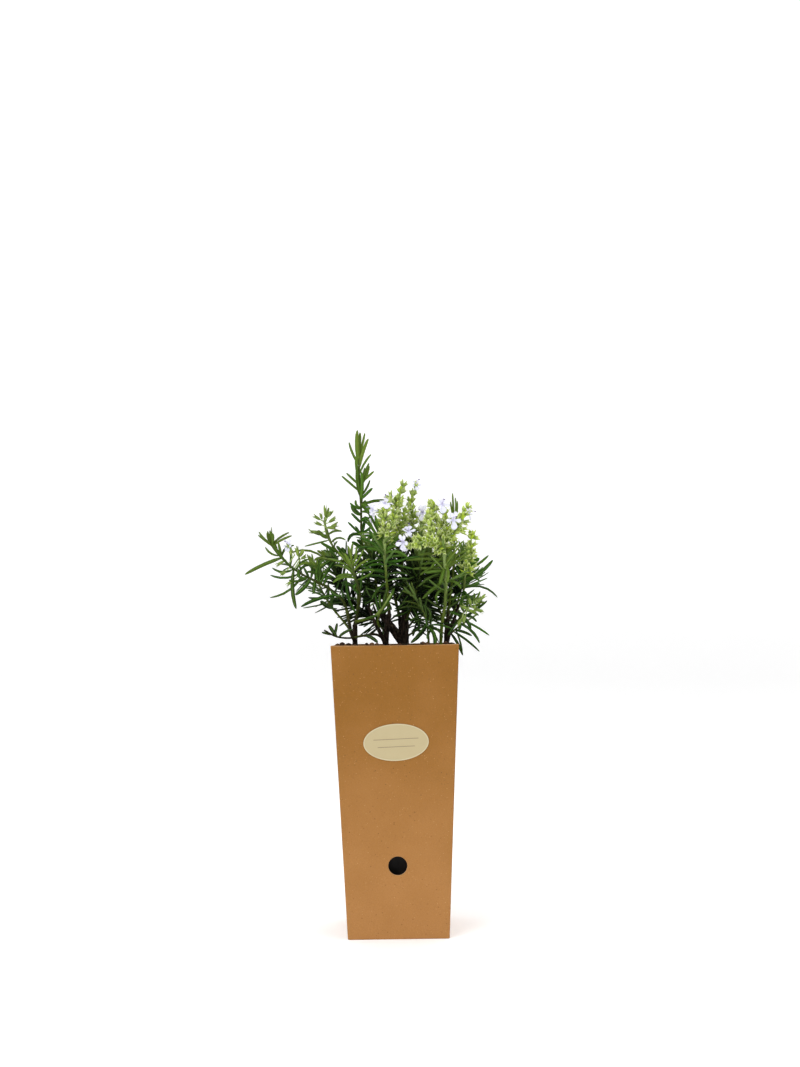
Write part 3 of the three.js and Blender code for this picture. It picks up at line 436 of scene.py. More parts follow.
        points=((5.3, 33.4, 246), (8, 46, 257), (12, 58, 267), (16, 67, 280), (18, 71, 294)),
    ),
    StemPlan(
        "back_low_right", (1.2, 0.8), trunk="back", bare=6, droop=0.8,
        points=((6, 32, 234), (19, 42, 242), (31, 52, 249), (43, 60, 256)),
    ),
    StemPlan(
        "back_low_left", (1.2, 0.8), trunk="back", bare=6, droop=0.6,
        points=((6, 32, 240), (-2, 45, 246), (-9, 58, 254), (-15, 69, 265)),
    ),
)


@dataclass(frozen=True)
class HeadPlan:
    """A flower head. Its first spike goes on from the end of its stem, and the others fork from it.

    `bush` is how long its side twigs are, and `yellow` how yellow-green its calyces are, from 0 to 1.
    """

    name: str
    stem: str
    spikes: tuple[tuple[Point, ...], ...]
    bush: float = 2.4
    yellow: float = 0.5


HEADS = (
    HeadPlan("front", "centre_front", bush=2.6, yellow=0.6, spikes=(
        ((-7, -33, 328), (-5, -33, 341)),
        ((-6, -33, 314), (-2, -35, 324), (1, -35, 334)),
    )),
    HeadPlan("top", "centre", bush=1.8, yellow=0.55, spikes=(
        ((1, -6, 326), (4, -8, 343), (9, -8, 361)),
        ((3, -7, 341), (0, -7, 347), (-3, -7, 351)),
        ((2, -5, 317), (7, -8, 328), (10, -9, 338)),
    )),
    HeadPlan("top_right", "centre_back", bush=1.7, yellow=0.45, spikes=(
        ((16, 3, 333), (15, 2, 348), (18, 0, 356)),
    )),
    HeadPlan("right", "right_front", bush=2.4, yellow=0.75, spikes=(
        ((38, -29, 318), (33, -29, 333), (30, -28, 344)),
        ((40, -28, 305), (32, -37, 311), (22, -42, 311), (14, -45, 308)),
        ((40, -28, 305), (46, -27, 319), (54, -25, 331), (59, -23, 338)),
        ((38, -30, 309), (32, -35, 318), (28, -36, 326), (28, -35, 332)),
        ((41, -28, 312), (42, -29, 323), (41, -29, 334)),
        ((49, -26, 319), (54, -25, 327), (57, -24, 333)),
    )),
    HeadPlan("far_right", "far_right", bush=2.1, yellow=1.2, spikes=(((62, -11, 303), (63, -12, 319)),)),
    HeadPlan("back", "back_upright", (((-9, 50, 322), (-8, 50, 340)),)),
    HeadPlan("back_right", "back_centre", (((24, 30, 320), (24, 31, 336)),)),
)


@dataclass(frozen=True)
class FlowerPlan:
    """An open flower on a head: its throat, where it looks if not away from the head, and its size."""

    head: str
    throat: Point
    facing: Point | None = None
    size: float = 1.0


FLOWERS = (
    FlowerPlan("front", (-16, -37, 337), (-0.7, -0.7, 0.1), 0.7),
    FlowerPlan("front", (-6, -42, 341.5), (0.1, -0.4, 0.9)),
    FlowerPlan("top_right", (19, -3, 360), (0.4, -0.8, 0.4), 0.75),
    FlowerPlan("top_right", (24, -6, 337), (-0.4, -0.9, 0.1)),
    FlowerPlan("right", (12, -38, 320), (0.1, -0.7, 0.7), 0.9),
    FlowerPlan("right", (7.5, -54, 310), (-0.6, -0.8, -0.1), 0.95),
    FlowerPlan("right", (39, -35, 341), (0.2, -0.9, 0.3)),
    FlowerPlan("right", (47.5, -37, 328.5), (0.3, -0.95, 0.1), 1.05),
    FlowerPlan("right", (60, -28, 334), (0.8, 0.5, 0.1), 0.7),
    FlowerPlan("top", (-2, 3, 349), (-0.2, 0.9, 0.3), 0.7),
    FlowerPlan("back", (-18, 56, 337)),
    FlowerPlan("back_right", (32, 38, 333)),
)


@dataclass(frozen=True)
class BudCluster:
    """Closed calyces near a stem's tip: their depth, each one's foot and reach, and a flower among them."""

    stem: str
    y: float
    buds: tuple[tuple[float, float, float, float], ...]
    flower: FlowerPlan | None = None


BUDS = (
    BudCluster("upper_left", -12, (
        (-54.5, 332, 0, 7), (-53, 333, 3, 4), (-57, 331, -5, 3), (-57, 331, -1, 5), (-53, 329, 5, 3),
        (-52, 325, 5, 2), (-55, 326, 7, -1), (-56, 322, -7, 0), (-56, 327, -5, 2),
    )),
    BudCluster("far_left", -31, (
        (-85, 299, -5, -3), (-84, 291, -4, -3), (-77, 285, -5, -4), (-75, 300, -1, 6), (-75, 300, 3, 5),
        (-74, 299, 4, 2), (-78, 303, -4, 5),
    ), FlowerPlan("far_left", (-83, -35, 310), (-0.3, -0.9, 0.3), 0.75)),
    BudCluster("low_right", -28, (
        (61, 260, -1, 4), (63, 262, 1, -3), (65, 262, 3, 4), (62, 259, 5, -2), (66, 264, 5, 4),
        (58, 258, 4, -2), (57, 255, -2, -5), (54, 252, -3, -5), (59, 257, -4, 3),
    )),
)


# ---------------------------------------------------------------- small tools


def lerp(low: float, high: float, share: float) -> float:
    """Returns the value that lies a share of the way from low to high."""
    return low + (high - low) * share


def clamp(value: float, low: float = 0.0, high: float = 1.0) -> float:
    """Returns the value, kept between low and high."""
    return min(max(value, low), high)


def smooth(share: float) -> float:
    """Returns an S-curve from 0 to 1 of a share."""
    held = clamp(share)
    return held * held * (3 - 2 * held)


def blend(values: Point, share: float) -> float:
    """Returns a value that passes through three given ones, at a share of the way."""
    return lerp(*values[:2], share * 2) if share < 0.5 else lerp(*values[1:], share * 2 - 1)


def square_to(axis: Vector, direction: Vector) -> Vector:
    """Returns the part of a direction that is square to an axis, at length 1."""
    return (direction - axis * direction.dot(axis)).normalized()


def circle(sides: int, start: float = 0.0) -> np.ndarray:
    """Returns points round a circle of radius 1, from a share of a step on."""
    turns = (np.arange(sides) + start) / sides * FULL_TURN
    return np.column_stack([np.cos(turns), np.sin(turns)])


class Draws:
    """A repeatable run of numbers from 0 to 1."""

    FACTOR, MODULUS = 48271, 2147483647

    def __init__(self, seed: int) -> None:
        """Starts the run."""
        self.state = seed

    def __call__(self) -> float:
        """Returns the next number."""
        self.state = self.state * self.FACTOR % self.MODULUS
        return self.state / self.MODULUS

    def between(self, low: float, high: float) -> float:
        """Returns the next number, spread from low to high."""
        return lerp(low, high, self())

    def about(self, spread: float) -> float:
        """Returns the next number, spread evenly round 0."""
        return (self() - 0.5) * 2 * spread


@dataclass(frozen=True)
class Axes:
    """A place with three directions square to each other."""

    centre: Vector
    along: Vector
    across: Vector
    side: Vector

    def ahead(self, distance: float) -> "Axes":
        """Returns the same directions at a distance along."""
        return replace(self, centre=self.centre + self.along * distance)

    def leaning(self, turn: float, angle: float) -> Vector:
        """Returns a direction that leans from `along` by an angle, on the side given by a turn."""
        outward = self.across * math.cos(turn) + self.side * math.sin(turn)
        return self.along * math.cos(angle) + outward * math.sin(angle)

    @staticmethod
    def of(centre: Vector, along: Vector, hint: Vector) -> "Axes":
        """Returns axes at a centre, where `across` is as near to the hint as it can be."""
        forward = along.normalized()
        across = square_to(forward, hint)
        return Axes(centre, forward, across, forward.cross(across))


class Path:
    """A smooth centripetal curve through points, measured by its length."""

    DIVISIONS = 200
    STEPS_BETWEEN = 40
    SIDEWAYS = Vector((0.6, 0.8, -0.5))  # no stem runs this way
    NUDGE = 0.0001

    def __init__(self, points: Sequence[Point]) -> None:
        """Measures the curve through points."""
        self.points = [Vector(point) for point in points]
        self.lengths = self.lengths_over(self.DIVISIONS)
        self.length = self.lengths[-1]

    def point(self, share: float) -> Vector:
        """Returns the point at a share of the run of numbered points."""
        last = len(self.points) - 1
        place = last * share
        index = min(int(place), last - 1)
        weight = place - index
        p1, p2 = self.points[index], self.points[index + 1]
        p0 = self.points[index - 1] if index > 0 else p1 * 2 - p2
        p3 = self.points[index + 2] if index + 2 <= last else p2 * 2 - p1
        gaps = [max((b - a).length_squared, 1e-12) ** 0.25 for a, b in ((p0, p1), (p1, p2), (p2, p3))]
        leave = ((p1 - p0) / gaps[0] - (p2 - p0) / (gaps[0] + gaps[1]) + (p2 - p1) / gaps[1]) * gaps[1]
        arrive = ((p2 - p1) / gaps[1] - (p3 - p1) / (gaps[1] + gaps[2]) + (p3 - p2) / gaps[2]) * gaps[1]
        bend = (p2 - p1) * 3 - leave * 2 - arrive
        turn = (p1 - p2) * 2 + leave + arrive
        return p1 + (leave + (bend + turn * weight) * weight) * weight

    def lengths_over(self, divisions: int) -> list[float]:
        """Returns the length from the start to each of evenly numbered shares."""
        lengths = [0.0]
        last = self.point(0)
        for i in range(1, divisions + 1):
            here = self.point(i / divisions)
            lengths.append(lengths[-1] + (here - last).length)
            last = here
        return lengths

    def share_at(self, distance: float) -> float:
        """Returns the share of numbered points at a distance along the curve."""
        target = clamp(distance, 0, self.length)
        index = int(np.searchsorted(self.lengths, target, side="right")) - 1
        if index >= self.DIVISIONS:
            return 1.0
        span = self.lengths[index + 1] - self.lengths[index]
        return (index + (target - self.lengths[index]) / span) / self.DIVISIONS

    def axes(self, distance: float) -> Axes:
        """Returns the centre and directions at a distance along the curve."""
        share = self.share_at(distance)
        along = self.point(min(share + self.NUDGE, 1)) - self.point(max(share - self.NUDGE, 0))
        return Axes.of(self.point(share), along, self.SIDEWAYS)

    def distance_of(self, index: int) -> float:
        """Returns how far along the curve its numbered point is."""
        steps = self.STEPS_BETWEEN
        return self.lengths_over(steps * (len(self.points) - 1))[steps * index]

    def nearest(self, point: Vector, steps: int = 60) -> tuple[float, Vector]:
        """Returns how far the nearest of its evenly spread places is from a point, and that place."""
        spots = [self.axes(self.length * i / steps).centre for i in range(steps + 1)]
        spot = min(spots, key=lambda one: (one - point).length)
        return (spot - point).length, spot


@dataclass(frozen=True)
class Length:
    """A straight round length that may taper."""

    start: Vector
    end: Vector
    radii: Pair


class Neighbourhood:
    """The stems, leaves and petals in place, so that new ones are kept clear of other pieces."""

    ROOM = 40000

    def __init__(self) -> None:
        """Starts with nothing in place."""
        self.starts, self.spans, self.low, self.high = (np.zeros((self.ROOM, 3)) for _ in range(4))
        self.radii = np.zeros((self.ROOM, 2))
        self.nodes = np.zeros(self.ROOM, int)
        self.names: dict[str, int] = {}
        self.count = 0

    def number(self, node: str) -> int:
        """Returns the number that stands for a node's name."""
        return self.names.setdefault(node, len(self.names))

    def occupy(self, node: str, lengths: Iterable[Length]) -> None:
        """Puts lengths in place.

        Args:
            node: The piece that they belong to.
            lengths: The lengths.
        """
        for length in lengths:
            i = self.count
            start, end = np.array(length.start), np.array(length.end)
            reach = max(length.radii)
            self.starts[i] = start
            self.spans[i] = end - start
            self.radii[i] = length.radii
            self.low[i] = np.minimum(start, end) - reach
            self.high[i] = np.maximum(start, end) + reach
            self.nodes[i] = self.number(node)
            self.count += 1

    def clear(self, node: str, length: Length, clearance: float) -> bool:
        """Tells whether a length keeps clear of every other piece.

        Args:
            node: The piece that the length would belong to.
            length: The length.
            clearance: The least gap.

        Returns:
            True where it is clear.
        """
        n = self.count
        start, end = np.array(length.start), np.array(length.end)
        room = max(length.radii) + clearance
        near = np.all(self.low[:n] < np.maximum(start, end) + room, axis=1)
        near &= np.all(self.high[:n] > np.minimum(start, end) - room, axis=1)
        near &= self.nodes[:n] != self.number(node)
        picked = np.nonzero(near)[0]
        if not len(picked):
            return True
        u = end - start
        v = self.spans[picked]
        w = start - self.starts[picked]
        uu, uv, vv, uw, vw = u @ u, v @ u, (v * v).sum(1), w @ u, (v * w).sum(1)
        cross = uu * vv - uv * uv
        even = cross <= 1e-9
        s = np.where(even, 0, np.clip((uv * vw - vv * uw) / np.where(even, 1, cross), 0, 1))
        t = np.clip((uv * s + vw) / np.maximum(vv, 1e-12), 0, 1)
        s = np.clip((uv * t - uw) / uu, 0, 1)
        apart = np.linalg.norm(w + u * s[:, None] - v * t[:, None], axis=1)
        own = lerp(*length.radii, s)
        other = self.radii[picked, 0] * (1 - t) + self.radii[picked, 1] * t
        return bool(np.all(apart - own - other > clearance))


def grid_faces(rows: int, columns: int, closed: bool) -> np.ndarray:
    """Returns the quads of a grid of points, row after row.

    Args:
        rows: How many rows of points.
        columns: How many points in a row.
        closed: Whether each row runs round to its start.

    Returns:
        One row of four point numbers for each quad.
    """
    i = np.arange(columns if closed else columns - 1)
    after = (i + 1) % columns
    strip = np.stack([i, after, after + columns, i + columns], axis=1)
    return np.concatenate([strip + columns * k for k in range(rows - 1)])


class Draft:
    """The points, faces and marks of one piece, gathered until they become a mesh."""

    def __init__(self, *marks: str) -> None:
        """Starts empty, with the names of the numbers that each point carries for its material."""
        self.points: list[np.ndarray] = []
        self.faces: list[list[int]] = []
        self.marks: dict[str, list[np.ndarray]] = {mark: [] for mark in marks}
        self.count = 0

    def add(self, points: np.ndarray, faces: Iterable[Iterable[int]], **marks: Mark) -> None:
        """Adds points and the faces between them.

        Args:
            points: One row for each point.
            faces: The point numbers of each face, counted from the first new point.
            marks: For each mark, one value for all new points or one for each. A mark left out is 0.
        """
        n = len(points)
        self.points.append(points)
        base = self.count
        self.faces.extend([[int(i) + base for i in face] for face in faces])
        for mark, stored in self.marks.items():
            stored.append(np.broadcast_to(np.asarray(marks.get(mark, 0.0), float), (n,)))
        self.count += n

    def loft(self, given: Sequence[np.ndarray], tip: np.ndarray | None = None, **marks: Mark) -> None:
        """Adds the closed surface through rings of points, capped at its start and at its end or tip.

        Args:
            given: The rings. Seen from the far end, each runs anticlockwise.
            tip: A last point that closes the far end, where there is one.
            marks: For each mark, one value for all or one for each point, ring by ring, the tip last.
        """
        rings = np.asarray(given)
        rows, columns = rings.shape[:2]
        points = rings.reshape(-1, 3)
        faces = grid_faces(rows, columns, closed=True).tolist()
        faces.append(list(range(columns))[::-1])
        last = (rows - 1) * columns
        if tip is None:
            faces.append([last + i for i in range(columns)])
        else:
            points = np.concatenate([points, tip[None]])
            faces.extend([last + i, last + (i + 1) % columns, rows * columns] for i in range(columns))
        self.add(points, faces, **marks)

    def rod(self, ends: Sequence[Axes], radius: float, **marks: Mark) -> None:
        """Adds a thin straight rod between two places."""
        self.loft([round_ring(end, radius, 6) for end in ends], **marks)

    def to_object(self, name: str, material: Material | None, smooth_faces: bool = True) -> Piece:
        """Makes the mesh and its object.

        Args:
            name: The piece's name.
            material: Its finish, if it has one.
            smooth_faces: Whether light runs smoothly over its edges.

        Returns:
            The object, linked to the scene.
        """
        mesh = bpy.data.meshes.new(name)
        mesh.from_pydata((np.concatenate(self.points) * MM).tolist(), [], self.faces)
        for mark, stored in self.marks.items():
            values = np.concatenate(stored).astype(np.float32)
            mesh.attributes.new(mark, "FLOAT", "POINT").data.foreach_set("value", values)
        mesh.polygons.foreach_set("use_smooth", [smooth_faces] * len(mesh.polygons))
        if material:
            mesh.materials.append(material)
        mesh.update()
        made = bpy.data.objects.new(name, mesh)
        bpy.context.scene.collection.objects.link(made)
        return made


def settle(piece: Piece, slot: Slot, *nodes: str) -> None:
    """Lets a piece ride on the part's body, in place of CAD nodes.

    Args:
        piece: The piece.
        slot: The record's slot for its finish; not used.
        nodes: The nodes that it stands for.
    """
    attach(piece, BODY)
    if nodes:
        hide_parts(*nodes)
    log.info("%s: %d faces, for %s", piece.name, len(piece.data.polygons), ", ".join(nodes) or "no node")


def round_plug(centre: Point, axis: int, radius: float, sides: int, reach: Pair) -> Piece:
    """Returns a round plug that cuts a hole.

    Args:
        centre: A point on its axis.
        axis: Which of x, y and z it runs along.
        radius: Its radius.
        sides: How many flats it has.
        reach: Where its ends are, from the centre.

    Returns:
        The plug.
    """
    draft = Draft()
    draft.loft([np.insert(circle(sides) * radius, axis, end, axis=1) + np.array(centre) for end in reach])
    return draft.to_object("hole_cutter", None, smooth_faces=False)


def carve(piece: Piece, cutters: Sequence[Piece], crease: float) -> None:
    """Cuts closed shapes out of a piece, removes them, and keeps its creases sharp.

    Args:
        piece: What is cut.
        cutters: The shapes that are taken away.
        crease: The least angle of a sharp edge, in degrees.
    """
    for cutter in cutters:
        cut = piece.modifiers.new("cut", "BOOLEAN")
        cut.operation = "DIFFERENCE"
        cut.solver = "EXACT"
        cut.object = cutter
    bpy.context.view_layer.update()
    graph = bpy.context.evaluated_depsgraph_get()
    carved = bpy.data.meshes.new_from_object(piece.evaluated_get(graph), depsgraph=graph)
    piece.modifiers.clear()
    piece.data = carved
    for cutter in cutters:
        bpy.data.objects.remove(cutter)
    piece.data.set_sharp_from_angle(angle=math.radians(crease))


# ---------------------------------------------------------------- shader effects


def linear(colour: Colour) -> tuple[float, ...]:
    """Returns a screen colour as the linear numbers that a shader takes."""
    shares = (value / 255 for value in colour)
    return *(s / 12.92 if s <= 0.04045 else ((s + 0.055) / 1.055) ** 2.4 for s in shares), 1.0


class Tree:
    """A node tree with short calls that add and join nodes."""

    def __init__(self, tree: NodeTree) -> None:
        """Holds a material's or a group's tree."""
        self.tree = tree

    def node(self, kind: str, feeds: dict[str | int, object] | None = None,
             **settings: object) -> bpy.types.Node:
        """Adds a node.

        Args:
            kind: The node's type.
            feeds: What its inputs get, by name or number.
            settings: Its own settings.

        Returns:
            The node.
        """
        made = self.tree.nodes.new(kind)
        for name, value in settings.items():
            setattr(made, name, value)
        for name, value in (feeds or {}).items():
            self.feed(made.inputs[name], value)
        return made

    def feed(self, socket: Socket, value: object) -> None:
        """Links a socket to an output, or sets its own value, which may be a screen colour."""
        if isinstance(value, Socket):
            self.tree.links.new(value, socket)
        else:
            socket.default_value = linear(value) if socket.type == "RGBA" and len(value) == 3 else value

    def math(self, operation: str, *values: object, clamped: bool = False) -> Socket:
        """Returns the result of arithmetic on sockets or numbers."""
        made = self.node("ShaderNodeMath", operation=operation, use_clamp=clamped)
        for socket, value in zip(made.inputs, values):
            self.feed(socket, value)
        return made.outputs[0]

    def times(self, *values: object) -> Socket:
        """Returns the product of two sockets or numbers."""
        return self.math("MULTIPLY", *values)

    def plus(self, *values: object) -> Socket:
        """Returns the sum of two sockets or numbers, held from 0 to 1."""
        return self.math("ADD", *values, clamped=True)

    def span(self, value: object, low: float, high: float, to_low: float = 0, to_high: float = 1) -> Socket:
        """Returns a value mapped smoothly from one range to another, and held at its ends."""
        made = self.node("ShaderNodeMapRange", interpolation_type="SMOOTHSTEP")
        for socket, given in zip(made.inputs, (value, low, high, to_low, to_high)):
            self.feed(socket, given)
        return made.outputs[0]

    def mix(self, share: object, first: object, second: object) -> Socket:
        """Returns a colour mixed from two, by a share."""
        made = self.node("ShaderNodeMix", data_type="RGBA")
        colours = [socket for socket in made.inputs if socket.type == "RGBA"]
        for socket, value in zip((made.inputs[0], *colours), (share, first, second)):
            self.feed(socket, value)
        return next(socket for socket in made.outputs if socket.type == "RGBA")

    def mark(self, name: str) -> Socket:
        """Returns the number that the mesh's points carry under a name."""
        return self.node("ShaderNodeAttribute", attribute_name=name).outputs["Fac"]

    def place(self) -> Socket:
        """Returns the point's place on the object, in metres."""
        return self.node("ShaderNodeTexCoord").outputs["Object"]

    def axes_of_place(self) -> list[Socket]:
        """Returns the place's x, y and z."""
        return list(self.node("ShaderNodeSeparateXYZ", {"Vector": self.place()}).outputs)

    def effect(self, group: Callable[[], NodeTree], **values: object) -> Socket:
        """Returns the output of a shared effect, placed with its own values."""
        return self.node("ShaderNodeGroup", values, node_tree=group()).outputs[0]


class Effect(Tree):
    """A group of shader nodes with named inputs that gives one value."""

    def __init__(self, name: str, output: str, **inputs: float) -> None:
        """Starts the group.

        Args:
            name: The effect's name.
            output: Its output's name.
            inputs: Its inputs' usual values.
        """
        super().__init__(bpy.data.node_groups.new(name, "ShaderNodeTree"))
        ports = self.tree.interface
        for title, usual in inputs.items():
            port = ports.new_socket(name=title, in_out="INPUT", socket_type="NodeSocketFloat")
            port.default_value = usual
        ports.new_socket(name=output, in_out="OUTPUT", socket_type="NodeSocketFloat")
        self.given = self.node("NodeGroupInput").outputs

    def handed_on(self, *names: str) -> dict[str, Socket]:
        """Returns inputs of the group, by the names that they share with a node's."""
        return {name: self.given[name] for name in names}

    def giving(self, value: Socket) -> NodeTree:
        """Returns the group, which gives a value."""
        self.feed(self.node("NodeGroupOutput").inputs[0], value)
        return self.tree


@cache
def mottle() -> NodeTree:
    """Returns an effect of soft uneven patches, from 0 to 1."""
    made = Effect("soft_mottle", "Patches", Scale=100, Detail=4, Contrast=1.5, Seed=0)
    feeds = {"Vector": made.place(), "W": made.given["Seed"], **made.handed_on("Scale", "Detail")}
    clouds = made.node("ShaderNodeTexNoise", feeds, noise_dimensions="4D").outputs["Fac"]
    return made.giving(made.plus(made.times(made.math("SUBTRACT", clouds, 0.5), made.given["Contrast"]), 0.5))


@cache
def flecks() -> NodeTree:
    """Returns an effect of scattered small specks, 1 inside a speck."""
    made = Effect("flecks", "Mask", Scale=300, Share=0.2, Size=0.2, Seed=0)
    feeds = {"Vector": made.place(), "W": made.given["Seed"], **made.handed_on("Scale")}
    cells = made.node("ShaderNodeTexVoronoi", feeds, voronoi_dimensions="4D").outputs
    chance = made.node("ShaderNodeSeparateColor", {"Color": cells["Color"]}).outputs
    chosen = made.math("LESS_THAN", chance[0], made.given["Share"])
    wide = made.times(made.given["Size"], made.math("ADD", chance[1], 0.5))
    near = made.math("SUBTRACT", 1.0, made.math("DIVIDE", cells["Distance"], wide), clamped=True)
    return made.giving(made.times(made.math("MULTIPLY", near, 3.0, clamped=True), chosen))


@cache
def fibres() -> NodeTree:
    """Returns an effect of fine threads that run up the object, from 0 to 1."""
    made = Effect("fibres", "Threads", Scale=900, Stretch=0.2, Detail=3)
    squeeze = made.node("ShaderNodeCombineXYZ", {"X": 1.0, "Y": 1.0, "Z": made.given["Stretch"]}).outputs[0]
    drawn = made.node("ShaderNodeVectorMath", {0: made.place(), 1: squeeze}, operation="MULTIPLY").outputs[0]
    threads = made.node("ShaderNodeTexNoise", {"Vector": drawn, **made.handed_on("Scale", "Detail")})
    return made.giving(threads.outputs["Fac"])


class Finish:
    """A material with a glossy-diffuse shader, ready for its colour, roughness and relief."""

    def __init__(self, name: str) -> None:
        """Makes the material, and names it."""
        self.material = bpy.data.materials.new(name)
        self.material.use_nodes = True
        self.material.node_tree.nodes.clear()
        self.tree = Tree(self.material.node_tree)
        self.shader = self.tree.node("ShaderNodeBsdfPrincipled")
        self.tree.node("ShaderNodeOutputMaterial", {"Surface": self.shader.outputs[0]})

    def set(self, **values: object) -> None:
        """Sets or links the shader's sockets, named with underscores for spaces."""
        for name, value in values.items():
            self.tree.feed(self.shader.inputs[name.replace("_", " ")], value)

    def relief(self, height: Socket, depth: float, strength: float = 1.0) -> None:
        """Gives the surface a relief: its height from 0 to 1, its depth in millimetres, and its strength."""
        feeds = {"Height": height, "Distance": depth * MM, "Strength": strength}
        self.set(Normal=self.tree.node("ShaderNodeBump", feeds).outputs[0])


# ---------------------------------------------------------------- finishes


@dataclass(frozen=True)
class BoardFinish:
    """Brown board: a browner top, a lighter foot, pale and dark flecks, a thin painted shade line along its
    bottom, and a paler cut edge.
    """

    top: Colour = (132, 87, 26)
    foot: Colour = (160, 112, 60)
    pale_fleck: Colour = (186, 142, 88)
    dark_fleck_and_shade: Colour = (96, 62, 28)
    cut: Colour = (186, 152, 112)
    height: float = 231
    rim_band: float = 0.8
    contact_shade_height: float = 1.6
    hole_height: float = 58
    hole_radius: float = 7.55
    front: float = -30
    back: float = 37
    foot_half: float = 40
    spread: float = 10
    seam_inset: float = 2.4
    seam_width: float = 0.35

    def material(self) -> Material:
        """Returns the finish as a material."""
        made = Finish("brown_board")
        tree = made.tree
        x, y, z = tree.axes_of_place()
        rise = tree.span(z, 0.0, self.height * MM)
        patches = tree.effect(mottle, Scale=28, Detail=5, Contrast=1.6)
        uneven = tree.plus(rise, tree.times(tree.math("SUBTRACT", patches, 0.5), 0.5))
        colour = tree.mix(uneven, self.foot, self.top)
        grain = tree.effect(mottle, Scale=1400, Detail=3, Contrast=2.2, Seed=4)
        bright = tree.math("ADD", tree.times(grain, 0.22), 0.89)
        colour = tree.node("ShaderNodeHueSaturation", {"Value": bright, "Color": colour}).outputs[0]
        pale = tree.effect(flecks, Scale=950, Share=0.2, Size=0.3, Seed=1)
        colour = tree.mix(tree.times(pale, 0.6), colour, self.pale_fleck)
        dark = tree.effect(flecks, Scale=800, Share=0.13, Size=0.3, Seed=7)
        colour = tree.mix(tree.times(dark, 0.75), colour, self.dark_fleck_and_shade)
        # Painted shade: a thin darker band along the box's foot, where it meets the floor.
        colour = tree.mix(tree.span(z, 0.0, self.contact_shade_height * MM, 0.2, 0.0), colour, self.dark_fleck_and_shade)
        at_rim = tree.math("GREATER_THAN", z, (self.height - self.rim_band) * MM)
        up = tree.math("POWER", tree.math("SUBTRACT", z, self.hole_height * MM), 2.0)
        from_hole = tree.math("SQRT", tree.math("ADD", up, tree.times(x, x)))
        in_hole = tree.math("LESS_THAN", from_hole, self.hole_radius * MM)
        in_hole = tree.times(in_hole, tree.math("LESS_THAN", y, self.front * MM))
        # The glued lap ends in a cut edge beside one back corner.
        corner = tree.math("ADD", tree.times(rise, self.spread * MM), (self.foot_half - self.seam_inset) * MM)
        off_seam = tree.math("ABSOLUTE", tree.math("ADD", x, corner))
        seam = tree.math("LESS_THAN", off_seam, self.seam_width * MM)
        seam = tree.times(seam, tree.math("GREATER_THAN", y, self.back * MM))
        edges = tree.math("MAXIMUM", tree.times(at_rim, 0.4), in_hole)
        edges = tree.math("MAXIMUM", edges, tree.times(seam, 0.6))
        threads = tree.effect(fibres, Scale=1500, Stretch=0.35)
        made.set(Base_Color=tree.mix(edges, colour, self.cut), Specular_IOR_Level=0.35,
                 Roughness=tree.span(threads, 0.2, 0.8, 0.72, 0.9))
        made.relief(tree.math("ADD", threads, tree.times(pale, 0.5)), 0.06, 0.6)
        return made.material


@dataclass(frozen=True)
class PaperFinish:
    """Pale label paper, paler in a band round its edge, and two plain ruled lines where words would be."""

    paper: Colour = (172, 157, 119)
    border: Colour = (190, 180, 146)
    ink: Colour = (112, 102, 74)

    def material(self) -> Material:
        """Returns the finish as a material."""
        made = Finish("label_paper_print")
        tree = made.tree
        patches = tree.effect(mottle, Scale=180, Detail=4, Contrast=0.8)
        colour = tree.mix(tree.times(patches, 0.18), self.paper, self.border)
        colour = tree.mix(tree.times(tree.mark("border"), 0.8), colour, self.border)
        colour = tree.mix(tree.times(tree.mark("ink"), 0.75), colour, self.ink)
        threads = tree.effect(fibres, Scale=2500, Stretch=0.6)
        made.set(Base_Color=colour, Roughness=tree.span(threads, 0.2, 0.8, 0.48, 0.62))
        made.relief(threads, 0.02, 0.4)
        return made.material


@dataclass(frozen=True)
class PlasticFinish:
    """Black plastic of a nursery pot: a fine matt grain with a dusting of soil."""

    plastic: Colour = (9, 8, 8)
    dust: Colour = (52, 44, 36)

    def material(self) -> Material:
        """Returns the finish as a material."""
        made = Finish("black_pot_plastic")
        tree = made.tree
        patches = tree.effect(mottle, Scale=90, Detail=6, Contrast=2.6)
        dusty = tree.times(tree.span(patches, 0.55, 0.95), 0.35)
        threads = tree.effect(fibres, Scale=1200, Stretch=0.05)
        made.set(Base_Color=tree.mix(dusty, self.plastic, self.dust), Specular_IOR_Level=0.15,
                 Roughness=tree.span(threads, 0.3, 0.7, 0.5, 0.7))
        made.relief(threads, 0.03, 0.5)
        return made.material


@dataclass(frozen=True)
class SoilFinish:
    """Dark potting soil with browner crumbs and pale grit."""

    peat: Colour = (48, 34, 24)
    crumb: Colour = (98, 70, 46)
    grit: Colour = (150, 132, 108)

    def material(self) -> Material:
        """Returns the finish as a material."""
        made = Finish("dark_soil")
        tree = made.tree
        patches = tree.effect(mottle, Scale=260, Detail=6, Contrast=2.4)
        tint = tree.math("ADD", tree.times(patches, 0.5), tree.times(tree.mark("tint"), 0.6))
        colour = tree.mix(tree.span(tint, 0.2, 0.9), self.peat, self.crumb)
        pale = tree.effect(flecks, Scale=700, Share=0.06, Size=0.35, Seed=3)
        colour = tree.mix(tree.times(pale, 0.6), colour, self.grit)
        fine = tree.effect(mottle, Scale=1500, Detail=6, Contrast=2.0, Seed=2)
        made.set(Base_Color=colour, Roughness=tree.span(fine, 0.2, 0.8, 0.85, 1.0), Specular_IOR_Level=0.2)
        made.relief(fine, 0.5, 0.8)
        return made.material


